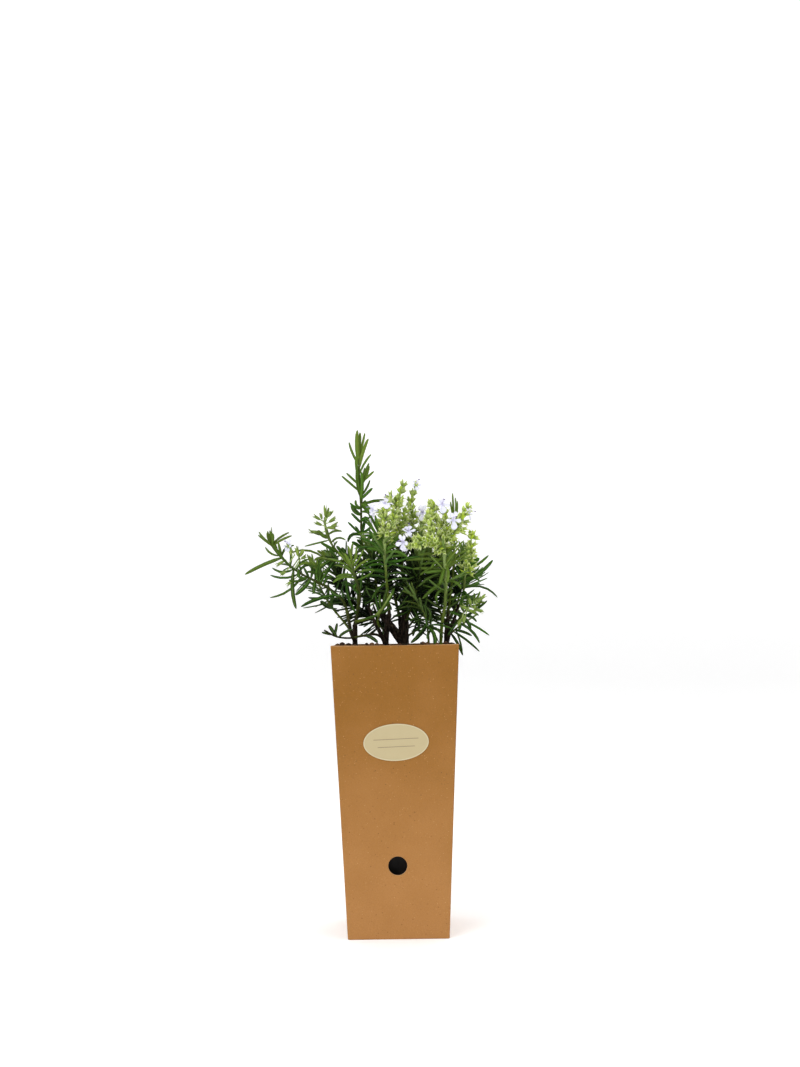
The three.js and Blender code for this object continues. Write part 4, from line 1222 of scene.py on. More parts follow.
@dataclass(frozen=True)
class BarkFinish:
    """Dark fissured bark with greyer ridges."""

    fissure: Colour = (12, 8, 6)
    ridge: Colour = (50, 38, 28)
    lichen: Colour = (84, 78, 60)
    young: Colour = (74, 84, 34)

    def material(self) -> Material:
        """Returns the finish as a material."""
        made = Finish("dark_bark")
        tree = made.tree
        height = tree.span(tree.effect(fibres, Scale=650, Stretch=0.22, Detail=6), 0.35, 0.68)
        colour = tree.mix(height, self.fissure, self.ridge)
        patches = tree.effect(mottle, Scale=220, Detail=4, Contrast=3.0, Seed=5)
        colour = tree.mix(tree.times(tree.span(patches, 0.6, 1.0), 0.4), colour, self.lichen)
        colour = tree.mix(tree.times(tree.mark("youth"), 0.8), colour, self.young)
        made.set(Base_Color=colour, Specular_IOR_Level=0.12,
                 Roughness=tree.span(height, 0.0, 1.0, 0.95, 0.75))
        made.relief(height, 0.5, 0.9)
        return made.material


@dataclass(frozen=True)
class LeafFinish:
    """Rosemary needles and stems: dark tops, felted pale undersides, brighter shoots, downy stems, painted
    shade inside the bush, and painted highlights down the middle of the needles.
    """

    old: Colour = (18, 50, 6)
    grown: Colour = (46, 90, 14)
    young: Colour = (112, 128, 46)
    felt: Colour = (112, 142, 80)
    groove: Colour = (108, 146, 66)
    deep: Colour = (2, 9, 1)
    old_stem: Colour = (84, 98, 28)
    wood_stem: Colour = (30, 22, 12)
    young_stem: Colour = (160, 182, 112)

    def material(self) -> Material:
        """Returns the finish as a material."""
        made = Finish("needle_green")
        tree = made.tree
        youth, under, shade, is_stem = (tree.mark(name) for name in ("youth", "under", "shade", "stem"))
        patches = tree.effect(mottle, Scale=350, Detail=3, Contrast=1.4)
        wander = tree.times(tree.math("SUBTRACT", patches, 0.5), 0.35)
        green = tree.mix(tree.plus(tree.mark("tint"), wander), self.old, self.grown)
        # The youth mark is young growth, and on the needles of some stems it also carries painted light.
        green = tree.mix(tree.times(youth, 0.85), green, self.young)
        green = tree.mix(tree.times(under, 0.7), green, self.felt)
        # Painted shade: needles inside the bush and low under the canopy are darkened towards near-black by
        # the shade mark.
        green = tree.mix(tree.times(shade, 0.93), green, self.deep)
        # Painted highlight: a paler line down the middle of each needle's top, laid on after the painted
        # shade so that it stays bright on shaded needles.
        green = tree.mix(tree.times(tree.mark("groove"), 0.5), green, self.groove)
        threads = tree.effect(fibres, Scale=1100, Stretch=0.2)
        stem = tree.mix(shade, self.old_stem, self.wood_stem)
        stem = tree.mix(youth, stem, self.young_stem)
        stem = tree.mix(tree.times(threads, 0.35), stem, self.old)
        rough = tree.math("MAXIMUM", tree.times(under, 0.85), tree.times(is_stem, 0.7))
        made.set(
            Base_Color=tree.mix(is_stem, green, stem),
            Roughness=tree.plus(tree.times(rough, 0.45), 0.42),
            Subsurface_Weight=0.08,
            Subsurface_Scale=0.0012,
            Subsurface_Radius=(0.5, 1.0, 0.2),
            Specular_IOR_Level=0.07,
        )
        made.relief(tree.effect(mottle, Scale=2600, Detail=2, Contrast=1.4, Seed=8), 0.04, 0.5)
        return made.material


@dataclass(frozen=True)
class CalyxFinish:
    """Calyces and spikes: yellow-green or olive, with downy pale edges, and painted shade inside and at the
    base of each bell and on closed buds.
    """

    green: Colour = (174, 200, 40)
    olive: Colour = (108, 132, 50)
    down: Colour = (232, 238, 184)
    spike: Colour = (156, 178, 100)
    painted_calyx_shade: Colour = (84, 106, 24)

    def material(self) -> Material:
        """Returns the finish as a material."""
        made = Finish("calyx_green_down")
        tree = made.tree
        patches = tree.effect(mottle, Scale=700, Detail=3, Contrast=1.5)
        wander = tree.times(tree.math("SUBTRACT", patches, 0.5), 0.4)
        colour = tree.mix(tree.plus(tree.mark("tint"), wander), self.olive, self.green)
        colour = tree.mix(tree.times(tree.mark("edge"), 0.75), colour, self.down)
        # Painted shade: the inside and the base of each bell, and a closed bud's body, are darkened.
        colour = tree.mix(tree.times(tree.mark("deep"), 0.8), colour, self.painted_calyx_shade)
        made.set(
            Base_Color=tree.mix(tree.mark("stem"), colour, self.spike),
            Roughness=tree.span(patches, 0.2, 0.8, 0.55, 0.75),
            Subsurface_Weight=0.2,
            Subsurface_Scale=0.0015,
            Subsurface_Radius=(0.7, 1.0, 0.3),
            Sheen_Weight=0.1,
            Sheen_Roughness=0.5,
        )
        made.relief(tree.effect(mottle, Scale=3200, Detail=2, Contrast=1.6, Seed=6), 0.05, 0.6)
        return made.material


@dataclass(frozen=True)
class PetalFinish:
    """Open flowers: pale lilac petals with violet spots on the lower lip, and lilac stamens."""

    petal: Colour = (232, 232, 246)
    vein: Colour = (196, 194, 230)
    spot: Colour = (140, 120, 200)
    stamen: Colour = (190, 178, 214)
    anther: Colour = (96, 84, 130)

    def material(self) -> Material:
        """Returns the finish as a material."""
        made = Finish("lilac_petal")
        tree = made.tree
        patches = tree.effect(mottle, Scale=500, Detail=3, Contrast=1.4)
        lilac = tree.plus(tree.times(patches, 0.35), tree.times(tree.mark("throat"), 0.4))
        colour = tree.mix(lilac, self.petal, self.vein)
        spots = tree.effect(flecks, Scale=1500, Share=0.5, Size=0.4, Seed=2)
        colour = tree.mix(tree.times(spots, tree.mark("spots")), colour, self.spot)
        stalk = tree.mark("stamen")
        colour = tree.mix(tree.math("GREATER_THAN", stalk, 0.3), colour, self.stamen)
        colour = tree.mix(tree.math("GREATER_THAN", stalk, 0.8), colour, self.anther)
        made.set(
            Base_Color=colour,
            Roughness=tree.span(patches, 0.2, 0.8, 0.45, 0.6),
            Subsurface_Weight=0.35,
            Subsurface_Scale=0.002,
            Subsurface_Radius=(1.0, 0.9, 1.0),
            Sheen_Weight=0.15,
        )
        made.relief(tree.effect(mottle, Scale=1800, Detail=2, Contrast=1.5, Seed=9), 0.03, 0.4)
        return made.material


@dataclass(frozen=True)
class StudioFinish:
    """The pale matt floor, which glows a little where it rises around the object."""

    floor: Colour = (246, 246, 246)
    glow: Pair = (0.245, 0.43)
    glow_height: Pair = (0.0, 0.9)

    def material(self) -> Material:
        """Returns the finish as a material."""
        made = Finish("pale_floor")
        tree = made.tree
        patches = tree.effect(mottle, Scale=3, Detail=3, Contrast=1.0)
        lit = tree.span(tree.axes_of_place()[2], *self.glow_height, *self.glow)
        made.set(Base_Color=self.floor, Roughness=tree.span(patches, 0.2, 0.8, 0.85, 0.95),
                 Specular_IOR_Level=0.1, Emission_Strength=1.0,
                 Emission_Color=tree.mix(lit, (0, 0, 0, 1), (1, 1, 1, 1)))
        return made.material


# ---------------------------------------------------------------- box, label, pot and soil


def rounded_square(half: float, rounding: float, flats: int, rounds: int) -> tuple[np.ndarray, np.ndarray]:
    """Returns a level rounded square, anticlockwise from above, and each point's outward direction.

    Args:
        half: Half its width.
        rounding: The radius of its corners.
        flats: How many points lie along each side, the corners' own left out.
        rounds: How many steps go round each corner.

    Returns:
        The points and the directions, as x and y.
    """
    points, directions = [], []
    for corner in range(4):
        middle = (corner + 0.5) * math.pi / 2
        centre = Vector((math.copysign(half - rounding, math.cos(middle)),
                         math.copysign(half - rounding, math.sin(middle))))
        for i in range(rounds + 1):
            turn = middle + (i / rounds - 0.5) * math.pi / 2
            outward = Vector((math.cos(turn), math.sin(turn)))
            points.append(centre + outward * rounding)
            directions.append(outward)
        outward = Vector((round(math.cos(middle + math.pi / 4)), round(math.sin(middle + math.pi / 4))))
        along = Vector((-outward.y, outward.x))
        for i in range(1, flats + 1):
            reach = (half - rounding) * (2 * i / (flats + 1) - 1)
            points.append(outward * half + along * reach)
            directions.append(outward)
    return np.array([tuple(p) for p in points]), np.array([tuple(d) for d in directions])


@dataclass
class GiftBox:
    """The tall tapered box of brown board, with its finger hole."""

    bottom: float = 80
    top: float = 100
    height: float = 231
    board: float = 1.5
    fold: float = 1.6
    inner_fold: float = 0.6
    bow: float = 0.35
    sag: float = 0.5
    hole_radius: float = 7.5
    hole_height: float = 58
    flats: int = 17
    rounds: int = 5
    levels: int = 36
    hole_sides: int = 96
    edge: float = 0.35
    crease: float = 40

    def half(self, z: float) -> float:
        """Returns half the box's outer width at a height."""
        return lerp(self.bottom, self.top, z / self.height) / 2

    @property
    def slope(self) -> float:
        """Returns how far a side leans out, in radians."""
        return math.atan((self.top - self.bottom) / 2 / self.height)

    def ring(self, z: float, inset: float, rounding: float) -> np.ndarray:
        """Returns the board's outline at a height, bowed a little between its corners.

        Args:
            z: The height.
            inset: How far inside the outer face.
            rounding: The radius of its corners.

        Returns:
            The ring's points.
        """
        half = self.half(z) - inset
        flat, outward = rounded_square(half, rounding, self.flats, self.rounds)
        middle = 1 - (np.minimum(np.abs(flat[:, 0]), np.abs(flat[:, 1])) / half) ** 2
        up_share = z / self.height
        bulge = -self.bow * middle * math.sin(math.pi * up_share) ** 0.8
        ripple = 0.08 * np.sin(flat[:, 0] * 0.11 + z * 0.045) * np.sin(flat[:, 1] * 0.13 - z * 0.03)
        shape = flat + outward * (bulge + ripple * middle)[:, None]
        dip = self.sag * smooth((up_share - 0.9) / 0.1) * middle
        return np.column_stack([shape, np.full(len(shape), z) - dip])

    def build(self) -> None:
        """Builds the box and cuts its hole."""
        edge, top = self.edge, self.height - self.edge
        shares = [i / self.levels for i in range(self.levels + 1)]
        rings = [self.ring(0, edge, self.fold)]
        rings += [self.ring(lerp(edge, top, share), 0, self.fold) for share in shares]
        rings.append(self.ring(self.height, edge, self.fold))
        rings.append(self.ring(self.height, self.board - edge, self.inner_fold))
        rings += [self.ring(lerp(top, self.board, share), self.board, self.inner_fold) for share in shares]
        draft = Draft()
        draft.loft(rings)
        box = draft.to_object("tapered_board_box", BoardFinish().material())
        hole = (0, -self.half(self.hole_height), self.hole_height)
        carve(box, [round_plug(hole, 1, self.hole_radius, self.hole_sides, (8, -8))], self.crease)
        settle(box, Slot.BOARD, "cardboard_box")


@dataclass
class OvalLabel:
    """The oval paper label on the box's front."""

    box: GiftBox
    width: float = 51
    height: float = 29
    thickness: float = 0.4
    centre: float = 155
    tilt: float = 2
    lift: float = 0.1
    sides: int = 128
    border_width: float = 0.8
    line_rows: tuple[Pair, ...] = ((2.6, 17.5), (-3.4, 14.5))
    line_width: float = 0.55
    crease: float = 50

    def build(self) -> None:
        """Builds the label."""
        unit = circle(self.sides)
        rows = [(0.0, 0.0, 0.0), (0.0, self.thickness - 0.12, 0.0), (0.05, self.thickness - 0.03, 1.0),
                (0.14, self.thickness, 1.0), (self.border_width, self.thickness, 1.0),
                (self.border_width + 0.1, self.thickness - 0.015, 0.0), (3.0, self.thickness, 0.0)]
        rings, marks = [], []
        for inset, rise, border in rows:
            half = np.array([self.width / 2 - inset, self.height / 2 - inset])
            rings.append(np.column_stack([unit * half, np.full(self.sides, rise)]))
            marks.append(np.full(self.sides, border))
        draft = Draft("border", "ink")
        draft.loft(rings, border=np.concatenate(marks))
        for row, reach in self.line_rows:
            self.rule(draft, row, reach)
        draft.points = [self.placed(points) for points in draft.points]
        label = draft.to_object("oval_paper_label", PaperFinish().material())
        label.data.set_sharp_from_angle(angle=math.radians(self.crease))
        settle(label, Slot.LABEL, "oval_label")

    def rule(self, draft: Draft, row: float, reach: float) -> None:
        """Adds a thin ruled line of ink.

        Args:
            draft: The label's draft.
            row: How far the line is above the label's middle.
            reach: Half its length.
        """
        half = self.line_width / 2
        low, high = self.thickness - 0.05, self.thickness + 0.02
        corners = ((-reach, -half), (reach, -half), (reach, half), (-reach, half))
        base = np.array([(x, row + y) for x, y in corners])
        rings = [np.column_stack([base, np.full(4, level)]) for level in (low, high)]
        draft.loft(rings, ink=1.0)

    def placed(self, points: np.ndarray) -> np.ndarray:
        """Returns the label's own points, tilted and laid on the box's leaning front."""
        turn = Euler((math.pi / 2 + self.box.slope, 0, 0)).to_matrix() @ Matrix.Rotation(
            math.radians(self.tilt), 3, "Z")
        place = np.array([0, -self.box.half(self.centre) - self.lift * math.cos(self.box.slope),
                          self.centre - self.lift * math.sin(self.box.slope)])
        return points @ np.array(turn).T + place


@dataclass
class NurseryPot:
    """The square black pot inside the box."""

    box: GiftBox
    rim: float = 229
    bottom_slack: float = 5
    rim_slack: float = 1.2
    wall: float = 1.2
    floor: float = 1.5
    corner: float = 5
    lip: float = 0.7
    lip_height: float = 6
    drain_radius: float = 5
    drain_spacing: float = 40
    drain_sides: int = 32
    crease: float = 50
    flats: int = 9
    rounds: int = 6

    def half(self, z: float) -> float:
        """Returns half the pot's outer width at a height, below its lip."""
        box = self.box
        bottom = box.half(box.board) - box.board - self.bottom_slack
        rim = box.half(self.rim) - box.board - self.rim_slack
        return lerp(bottom, rim, (z - box.board) / (self.rim - box.board))

    def ring(self, z: float, proud: float, rounding: float) -> np.ndarray:
        """Returns a level outline of the pot, as far outside its wall as given."""
        flat, _ = rounded_square(self.half(z) + proud, rounding, self.flats, self.rounds)
        return np.column_stack([flat, np.full(len(flat), z)])

    def build(self) -> None:
        """Builds the pot."""
        foot, rim, wall, lip = self.box.board, self.rim, self.wall, self.lip
        lip_foot = rim - self.lip_height
        bead = wall / 3
        outside = [(foot, -0.8), (foot + 0.8, 0), (lip_foot - 1.4, 0), (lip_foot - 0.3, lip - 0.1),
                   (lip_foot + 0.4, lip), (rim - bead, lip), (rim, lip - bead)]
        inside = [(rim, bead - wall), (rim - bead, -wall), (foot + self.floor + 1, -wall),
                  (foot + self.floor, -wall - 1)]
        rings = [self.ring(z, proud, self.corner) for z, proud in outside]
        rings += [self.ring(z, proud, self.corner - wall) for z, proud in inside]
        draft = Draft()
        draft.loft(rings)
        pot = draft.to_object("square_nursery_pot", PlasticFinish().material())
        away = self.drain_spacing / 2
        holes = [(x * away, y * away, 0) for x in (-1, 1) for y in (-1, 1)]
        carve(pot, [round_plug(hole, 2, self.drain_radius, self.drain_sides, (-5, 10)) for hole in holes],
              self.crease)
        settle(pot, Slot.PLASTIC, "nursery_pot")


@dataclass
class PottingSoil:
    """The soil in the pot, with crumbs and bits of bark on it."""

    pot: NurseryPot
    level: float = 227.5
    relief: float = 2.4
    slack: float = 0.3
    cells: int = 70
    crumbs: int = 420
    chips: int = 70
    seed: int = 71
    # Crumbs that peep over the front rim: where across, and how high their tops are above it.
    heap: tuple[Pair, ...] = (
        (-44.5, 2.4), (-41, 2.9), (-36, 2.2), (-31, 2.0), (-22, 3.0), (-17.5, 2.6), (-14, 1.8), (-3, 1.6),
        (4, 2.0), (12, 1.6), (22, 2.9), (25.5, 2.4), (33, 1.8), (40, 2.6), (44, 1.8),
    )
    heap_inset: float = 1.9
    heap_size: float = 2.2

    def height(self, x: float, y: float) -> float:
        """Returns the soil's height at a place."""
        coarse = noise.fractal(Vector((x * 0.06, y * 0.06, 3.0)), 1.0, 2.0, 4)
        fine = noise.fractal(Vector((x * 0.35, y * 0.35, 9.0)), 0.9, 2.0, 3)
        return self.level + self.relief * 0.45 * coarse + 0.55 * fine

    def build(self) -> None:
        """Builds the soil."""
        draws = Draws(self.seed)
        draft = Draft("tint")
        half = self.pot.half(self.level) - self.pot.wall - self.slack
        rounding = self.pot.corner - self.pot.wall
        outline, _ = rounded_square(1.0, rounding / half, self.pot.flats * 3, self.pot.rounds)
        rows = []
        for i in range(self.cells // 2 + 1):
            share = 1 - i / (self.cells // 2)
            flat = outline * half * max(share, 0.004)
            rows.append(np.array([(x, y, self.height(x, y)) for x, y in flat]))
        foot = self.pot.box.board + self.pot.floor + self.slack
        foot_half = self.pot.half(foot) - self.pot.wall - self.slack
        walls = [np.column_stack([outline * foot_half, np.full(len(outline), foot)])]
        draft.loft(walls + rows, tint=0.2)
        for _ in range(self.crumbs):
            x, y = draws.about(half - 3), draws.about(half - 3)
            size = lerp(0.4, 1.5, draws() ** 2)
            self.crumb(draft, draws, (x, y, self.height(x, y) + size * 0.25), size)
        y = self.heap_inset - half
        for x, rise in self.heap:
            self.crumb(draft, draws, (x, y, self.height(x, y) + 0.5), self.heap_size * 1.2)
            top = self.pot.box.height - self.pot.box.sag + rise
            size = self.heap_size * draws.between(0.8, 1.1)
            self.crumb(draft, draws, (x, y, top - self.heap_size * 0.75), size)
        for _ in range(self.chips):
            self.chip(draft, draws, half - 4)
        soil = draft.to_object("potting_soil_bed", SoilFinish().material(), smooth_faces=False)
        settle(soil, Slot.SOIL, "potting_soil")

    def crumb(self, draft: Draft, draws: Draws, place: Point, size: float) -> None:
        """Adds one crumb of soil.

        Args:
            draft: The soil's draft.
            draws: The random numbers.
            place: Its middle.
            size: Its radius.
        """
        made = bmesh.new()
        bmesh.ops.create_icosphere(made, subdivisions=1, radius=size)
        squash = np.array([draws.between(0.8, 1.3), draws.between(0.8, 1.3), draws.between(0.6, 0.9)])
        points = np.array([tuple(v.co) for v in made.verts]) * squash
        points *= np.array([[draws.between(0.75, 1.2)] for _ in points])
        points += np.array(place)
        faces = [[v.index for v in face.verts] for face in made.faces]
        made.free()
        draft.add(points, faces, tint=draws())

    def chip(self, draft: Draft, draws: Draws, reach: float) -> None:
        """Adds one flat chip of bark.

        Args:
            draft: The soil's draft.
            draws: The random numbers.
            reach: How far from the middle a chip may lie.
        """
        x, y = draws.about(reach), draws.about(reach)
        long, wide, thick = draws.between(2, 5), draws.between(0.8, 2), draws.between(0.4, 0.8)
        turn = Euler((draws.about(0.4), draws.about(0.4), draws() * FULL_TURN)).to_matrix()
        corners = [(-1, -0.7), (-0.3, -1), (0.8, -0.8), (1, 0.2), (0.5, 1), (-0.7, 0.8)]
        outline = np.array(corners) * (long / 2, wide / 2)
        rings = [np.column_stack([outline * scale, np.full(6, level * thick)])
                 for scale, level in ((0.8, -0.5), (1.0, 0.0), (0.85, 0.5))]
        place = np.array([x, y, self.height(x, y) + thick * 0.6])
        draft.loft([ring @ np.array(turn).T + place for ring in rings], tint=draws.between(0.5, 1.0))


# ---------------------------------------------------------------- the plant's shapes


@dataclass(frozen=True)
class NeedleShape:
    """A rosemary needle: grooved on top, with its edges rolled under, and felted below."""

    width: float = 2.4
    thickness: float = 1.3
    knee: float = 0.6
    past_axis: float = 0.3
    arch: float = 1.5
    root: float = 0.45

    # Round the needle from its one edge over the top: how far to the side and up, in half widths.
    SECTION = np.array([
        (-1.0, 0.0), (-0.78, 0.42), (-0.26, 0.5), (0.0, 0.28), (0.26, 0.5), (0.78, 0.42), (1.0, 0.0),
        (0.7, -0.48), (0.0, -0.2), (-0.7, -0.48),
    ])
    UNDER = np.array([0.15, 0, 0, 0, 0, 0, 0.15, 0.85, 1.0, 0.85])
    # How much painted highlight each point of the section takes: most in the middle of the top.
    GROOVE = np.array([0, 0, 0.2, 1.0, 0.2, 0, 0, 0, 0, 0])
    # Along the needle: the share of its length, and its width there as a share of the widest.
    STATIONS = np.array([(0, 0.42), (0.07, 0.62), (0.2, 0.92), (0.42, 1.0), (0.66, 1.0), (0.84, 0.86),
                         (0.94, 0.6), (0.985, 0.3)])

    def lengths(self, start: Vector, knee: Vector, tip: Vector) -> list[Length]:
        """Returns the round lengths that a needle takes up."""
        half = max(self.width, self.thickness) / 2 * 1.05
        return [Length(start, knee, (half * self.root, half)), Length(knee, tip, (half, half * 0.15))]

    def add(self, draft: Draft, bones: Bones, facing: Vector, size: float,
            twist: float, **marks: float) -> None:
        """Adds one needle.

        Args:
            draft: The draft that it goes into.
            bones: Its start, knee and tip.
            facing: The direction that its top looks in.
            size: Its width as a share of the usual.
            twist: How far it turns about itself by its tip, in radians.
            marks: The needle's marks.
        """
        start, knee, tip = (np.array(bone) for bone in bones)
        share = self.knee
        control = (knee - (1 - share) ** 2 * start - share ** 2 * tip) / (2 * share * (1 - share))
        t = self.STATIONS[:, 0][:, None]
        centre = (1 - t) ** 2 * start + 2 * t * (1 - t) * control + t ** 2 * tip
        along = 2 * (1 - t) * (control - start) + 2 * t * (tip - control)
        along /= np.linalg.norm(along, axis=1)[:, None]
        look = np.array(facing)
        up = look - along * (along @ look)[:, None]
        up /= np.linalg.norm(up, axis=1)[:, None]
        side = np.cross(along, up)
        turn = twist * t
        up, side = up * np.cos(turn) + side * np.sin(turn), side * np.cos(turn) - up * np.sin(turn)
        reach = self.STATIONS[:, 1] * self.width / 2 * size
        spread = self.SECTION[None, :, 0, None] * side[:, None] + self.SECTION[None, :, 1, None] * up[:, None]
        rings = centre[:, None] + reach[:, None, None] * spread
        rows = len(self.STATIONS)
        draft.loft(rings, tip=tip, under=np.append(np.tile(self.UNDER, rows), 0.0),
                   groove=np.append(np.tile(self.GROOVE, rows), 0.0), **marks)


NEEDLE = NeedleShape()


def round_ring(axes: Axes, radius: float, sides: int,
               lobes: Callable[[np.ndarray], np.ndarray] | None = None) -> np.ndarray:
    """Returns a ring of points round a centre.

    Args:
        axes: The centre and its directions.
        radius: The ring's radius.
        sides: How many points it has.
        lobes: What the radius is multiplied by at each turn, where it isn't round.

    Returns:
        The points.
    """
    turns = (np.arange(sides) + 0.5) / sides * FULL_TURN
    reach = radius * (lobes(turns) if lobes else np.ones(sides))
    outward = np.outer(np.cos(turns) * reach, axes.across)
    return np.array(axes.centre) + outward + np.outer(np.sin(turns) * reach, axes.side)


@dataclass(frozen=True)
class StemShape:
    """How a stem's section looks."""

    sides: int
    step: float
    square: float
    rough: float
    down: float = 0.0
    youth_curve: float = 3.0

    def add(self, draft: Draft, path: Path, span: Pair, radii: Pair,
            draws: Draws, thin: float = 1.0, youth: Pair = (0, 0), swell: float = 0.0,
            dark: float = 0.0) -> None:
        """Adds a stretch of stem.

        Args:
            draft: The draft that it goes into.
            path: The line that it follows.
            span: Where it starts and ends along the line.
            radii: The radius at the line's start and at its end.
            draws: The random numbers for its roughness.
            thin: What the radii are multiplied by.
            youth: The mark for young growth at the stretch's start and end.
            swell: How much wider it is at its joints.
            dark: The mark for a brown, woody skin.
        """
        steps = max(2, round((span[1] - span[0]) / self.step))
        rings, marks = [], []
        for i in range(steps + 1):
            distance = lerp(*span, i / steps)
            axes = path.axes(distance)
            radius = lerp(*radii, distance / path.length) * thin
            young = lerp(*youth, (i / steps) ** self.youth_curve)
            radius *= 1 + self.down * young
            if swell:
                radius *= 1 + swell * (i % 3 == 0)
            bumps = np.array([draws.about(self.rough) for _ in range(self.sides)])
            rings.append(round_ring(axes, radius, self.sides,
                                    lambda turns: 1 - self.square * np.cos(4 * turns) + bumps))
            marks.append(np.full(self.sides, young))
        draft.loft(rings, stem=1.0, youth=np.concatenate(marks), tint=draws(), shade=dark)


BARK_SHAPE = StemShape(sides=14, step=2.2, square=0.0, rough=0.09)
TWIG_SHAPE = StemShape(sides=10, step=2.2, square=0.03, rough=0.06)
GREEN_SHAPE = StemShape(sides=8, step=2.7, square=0.08, rough=0.04, down=0.6)


@dataclass(frozen=True)
class CalyxShape:
    """A small ribbed two-lipped bell on a short stalk, with a broad upper tooth and two lower ones."""

    length: float = 4.7
    stalk: float = 1.5
    stalk_radius: float = 0.32
    root: float = 0.5
    mouth: float = 1.5
    room: float = 2.0
    dip: float = 1.4
    sides: int = 12
    rib: float = 0.08
    wall: float = 0.2
    # How far along, and the radius there as a share of the mouth's.
    PROFILE = ((0.0, 0.24), (0.08, 0.5), (0.3, 0.8), (0.6, 0.92), (0.85, 0.95))

    @property
    def whole(self) -> float:
        """Returns the length of a calyx with its stalk."""
        return self.length + self.stalk

    def lip(self, turns: np.ndarray) -> np.ndarray:
        """Returns how far the rim stands out at each turn, as a share of the length."""
        away = np.abs((turns + math.pi) % (2 * math.pi) - math.pi)
        upper = 0.58 * np.exp(-((away / 0.55) ** 2))
        lower = 0.6 * np.exp(-(((away - 2.45) / 0.36) ** 2))
        return upper + lower - 0.1

    def add(self, draft: Draft, axes: Axes, length: float, size: float, tint: float, downy: float = 1.0,
            painted_body_shade: float = 0.0) -> None:
        """Adds one calyx with its stalk.

        Args:
            draft: The draft that it goes into.
            axes: The stalk's root and the directions; its upper lip is towards `across`.
            length: Its length from the stalk's root to the rim.
            size: Its mouth as a share of the usual.
            tint: How yellow-green it is.
            downy: How pale its edges are.
            painted_body_shade: How much painted shade darkens its body.
        """
        stalk = length * self.stalk / self.whole
        bell = length - stalk
        draft.rod((axes, axes.ahead(stalk + 0.3)), self.stalk_radius, stem=1.0, tint=tint)
        turns = (np.arange(self.sides) + 0.5) / self.sides * FULL_TURN
        ribs = 1 + self.rib * np.where(np.arange(self.sides) % 2, 1, -1)
        mouth = self.mouth * size
        lip = self.lip(turns)
        # Each row: how far up, its radii, how pale its edge is, and its painted shade, which is darkest at
        # the base.
        rows = [(share * bell, radius * mouth * ribs, 0.2 * share, 1 - share)
                for share, radius in self.PROFILE]
        rows.append((bell * (1 + lip * 0.5), mouth * ribs, 0.4, 0.0))
        rows.append((bell * (1 + lip), mouth * (1 + lip * 0.7), 0.85, 0.0))
        rows.append((bell * (1 + lip), mouth * (1 + lip * 0.7) - self.wall, 0.7, 0.0))
        # The inside of the bell, with painted shade that darkens towards its bottom.
        rows.append((bell * 0.85, np.full(self.sides, mouth * 0.75), 0.0, 0.1))
        rows.append((bell - self.dip, np.full(self.sides, mouth * 0.4), 0.0, 0.9))
        across, side, along = (np.array(v) for v in (axes.across, axes.side, axes.along))
        rings, edges, painted_shades = [], [], []
        for rise, radius, edge, deep in rows:
            ring = np.outer(np.cos(turns) * radius, across) + np.outer(np.sin(turns) * radius, side)
            height = np.broadcast_to(rise, turns.shape) + stalk
            rings.append(np.array(axes.centre) + ring + np.outer(height, along))
            edges.append(np.where(np.arange(self.sides) % 2, min(edge + 0.25, 1), edge))
            painted_shades.append(np.full(self.sides, max(deep, painted_body_shade)))
        draft.loft(rings, edge=np.concatenate(edges) * downy, deep=np.concatenate(painted_shades), tint=tint)


CALYX = CalyxShape()


@dataclass(frozen=True)
class Lobe:
    """One lobe of an open flower."""

    turn: float
    reach: float
    back: float
    width: float
    cup: float = 0.0
    spots: float = 0.0
    notch: float = 0.0


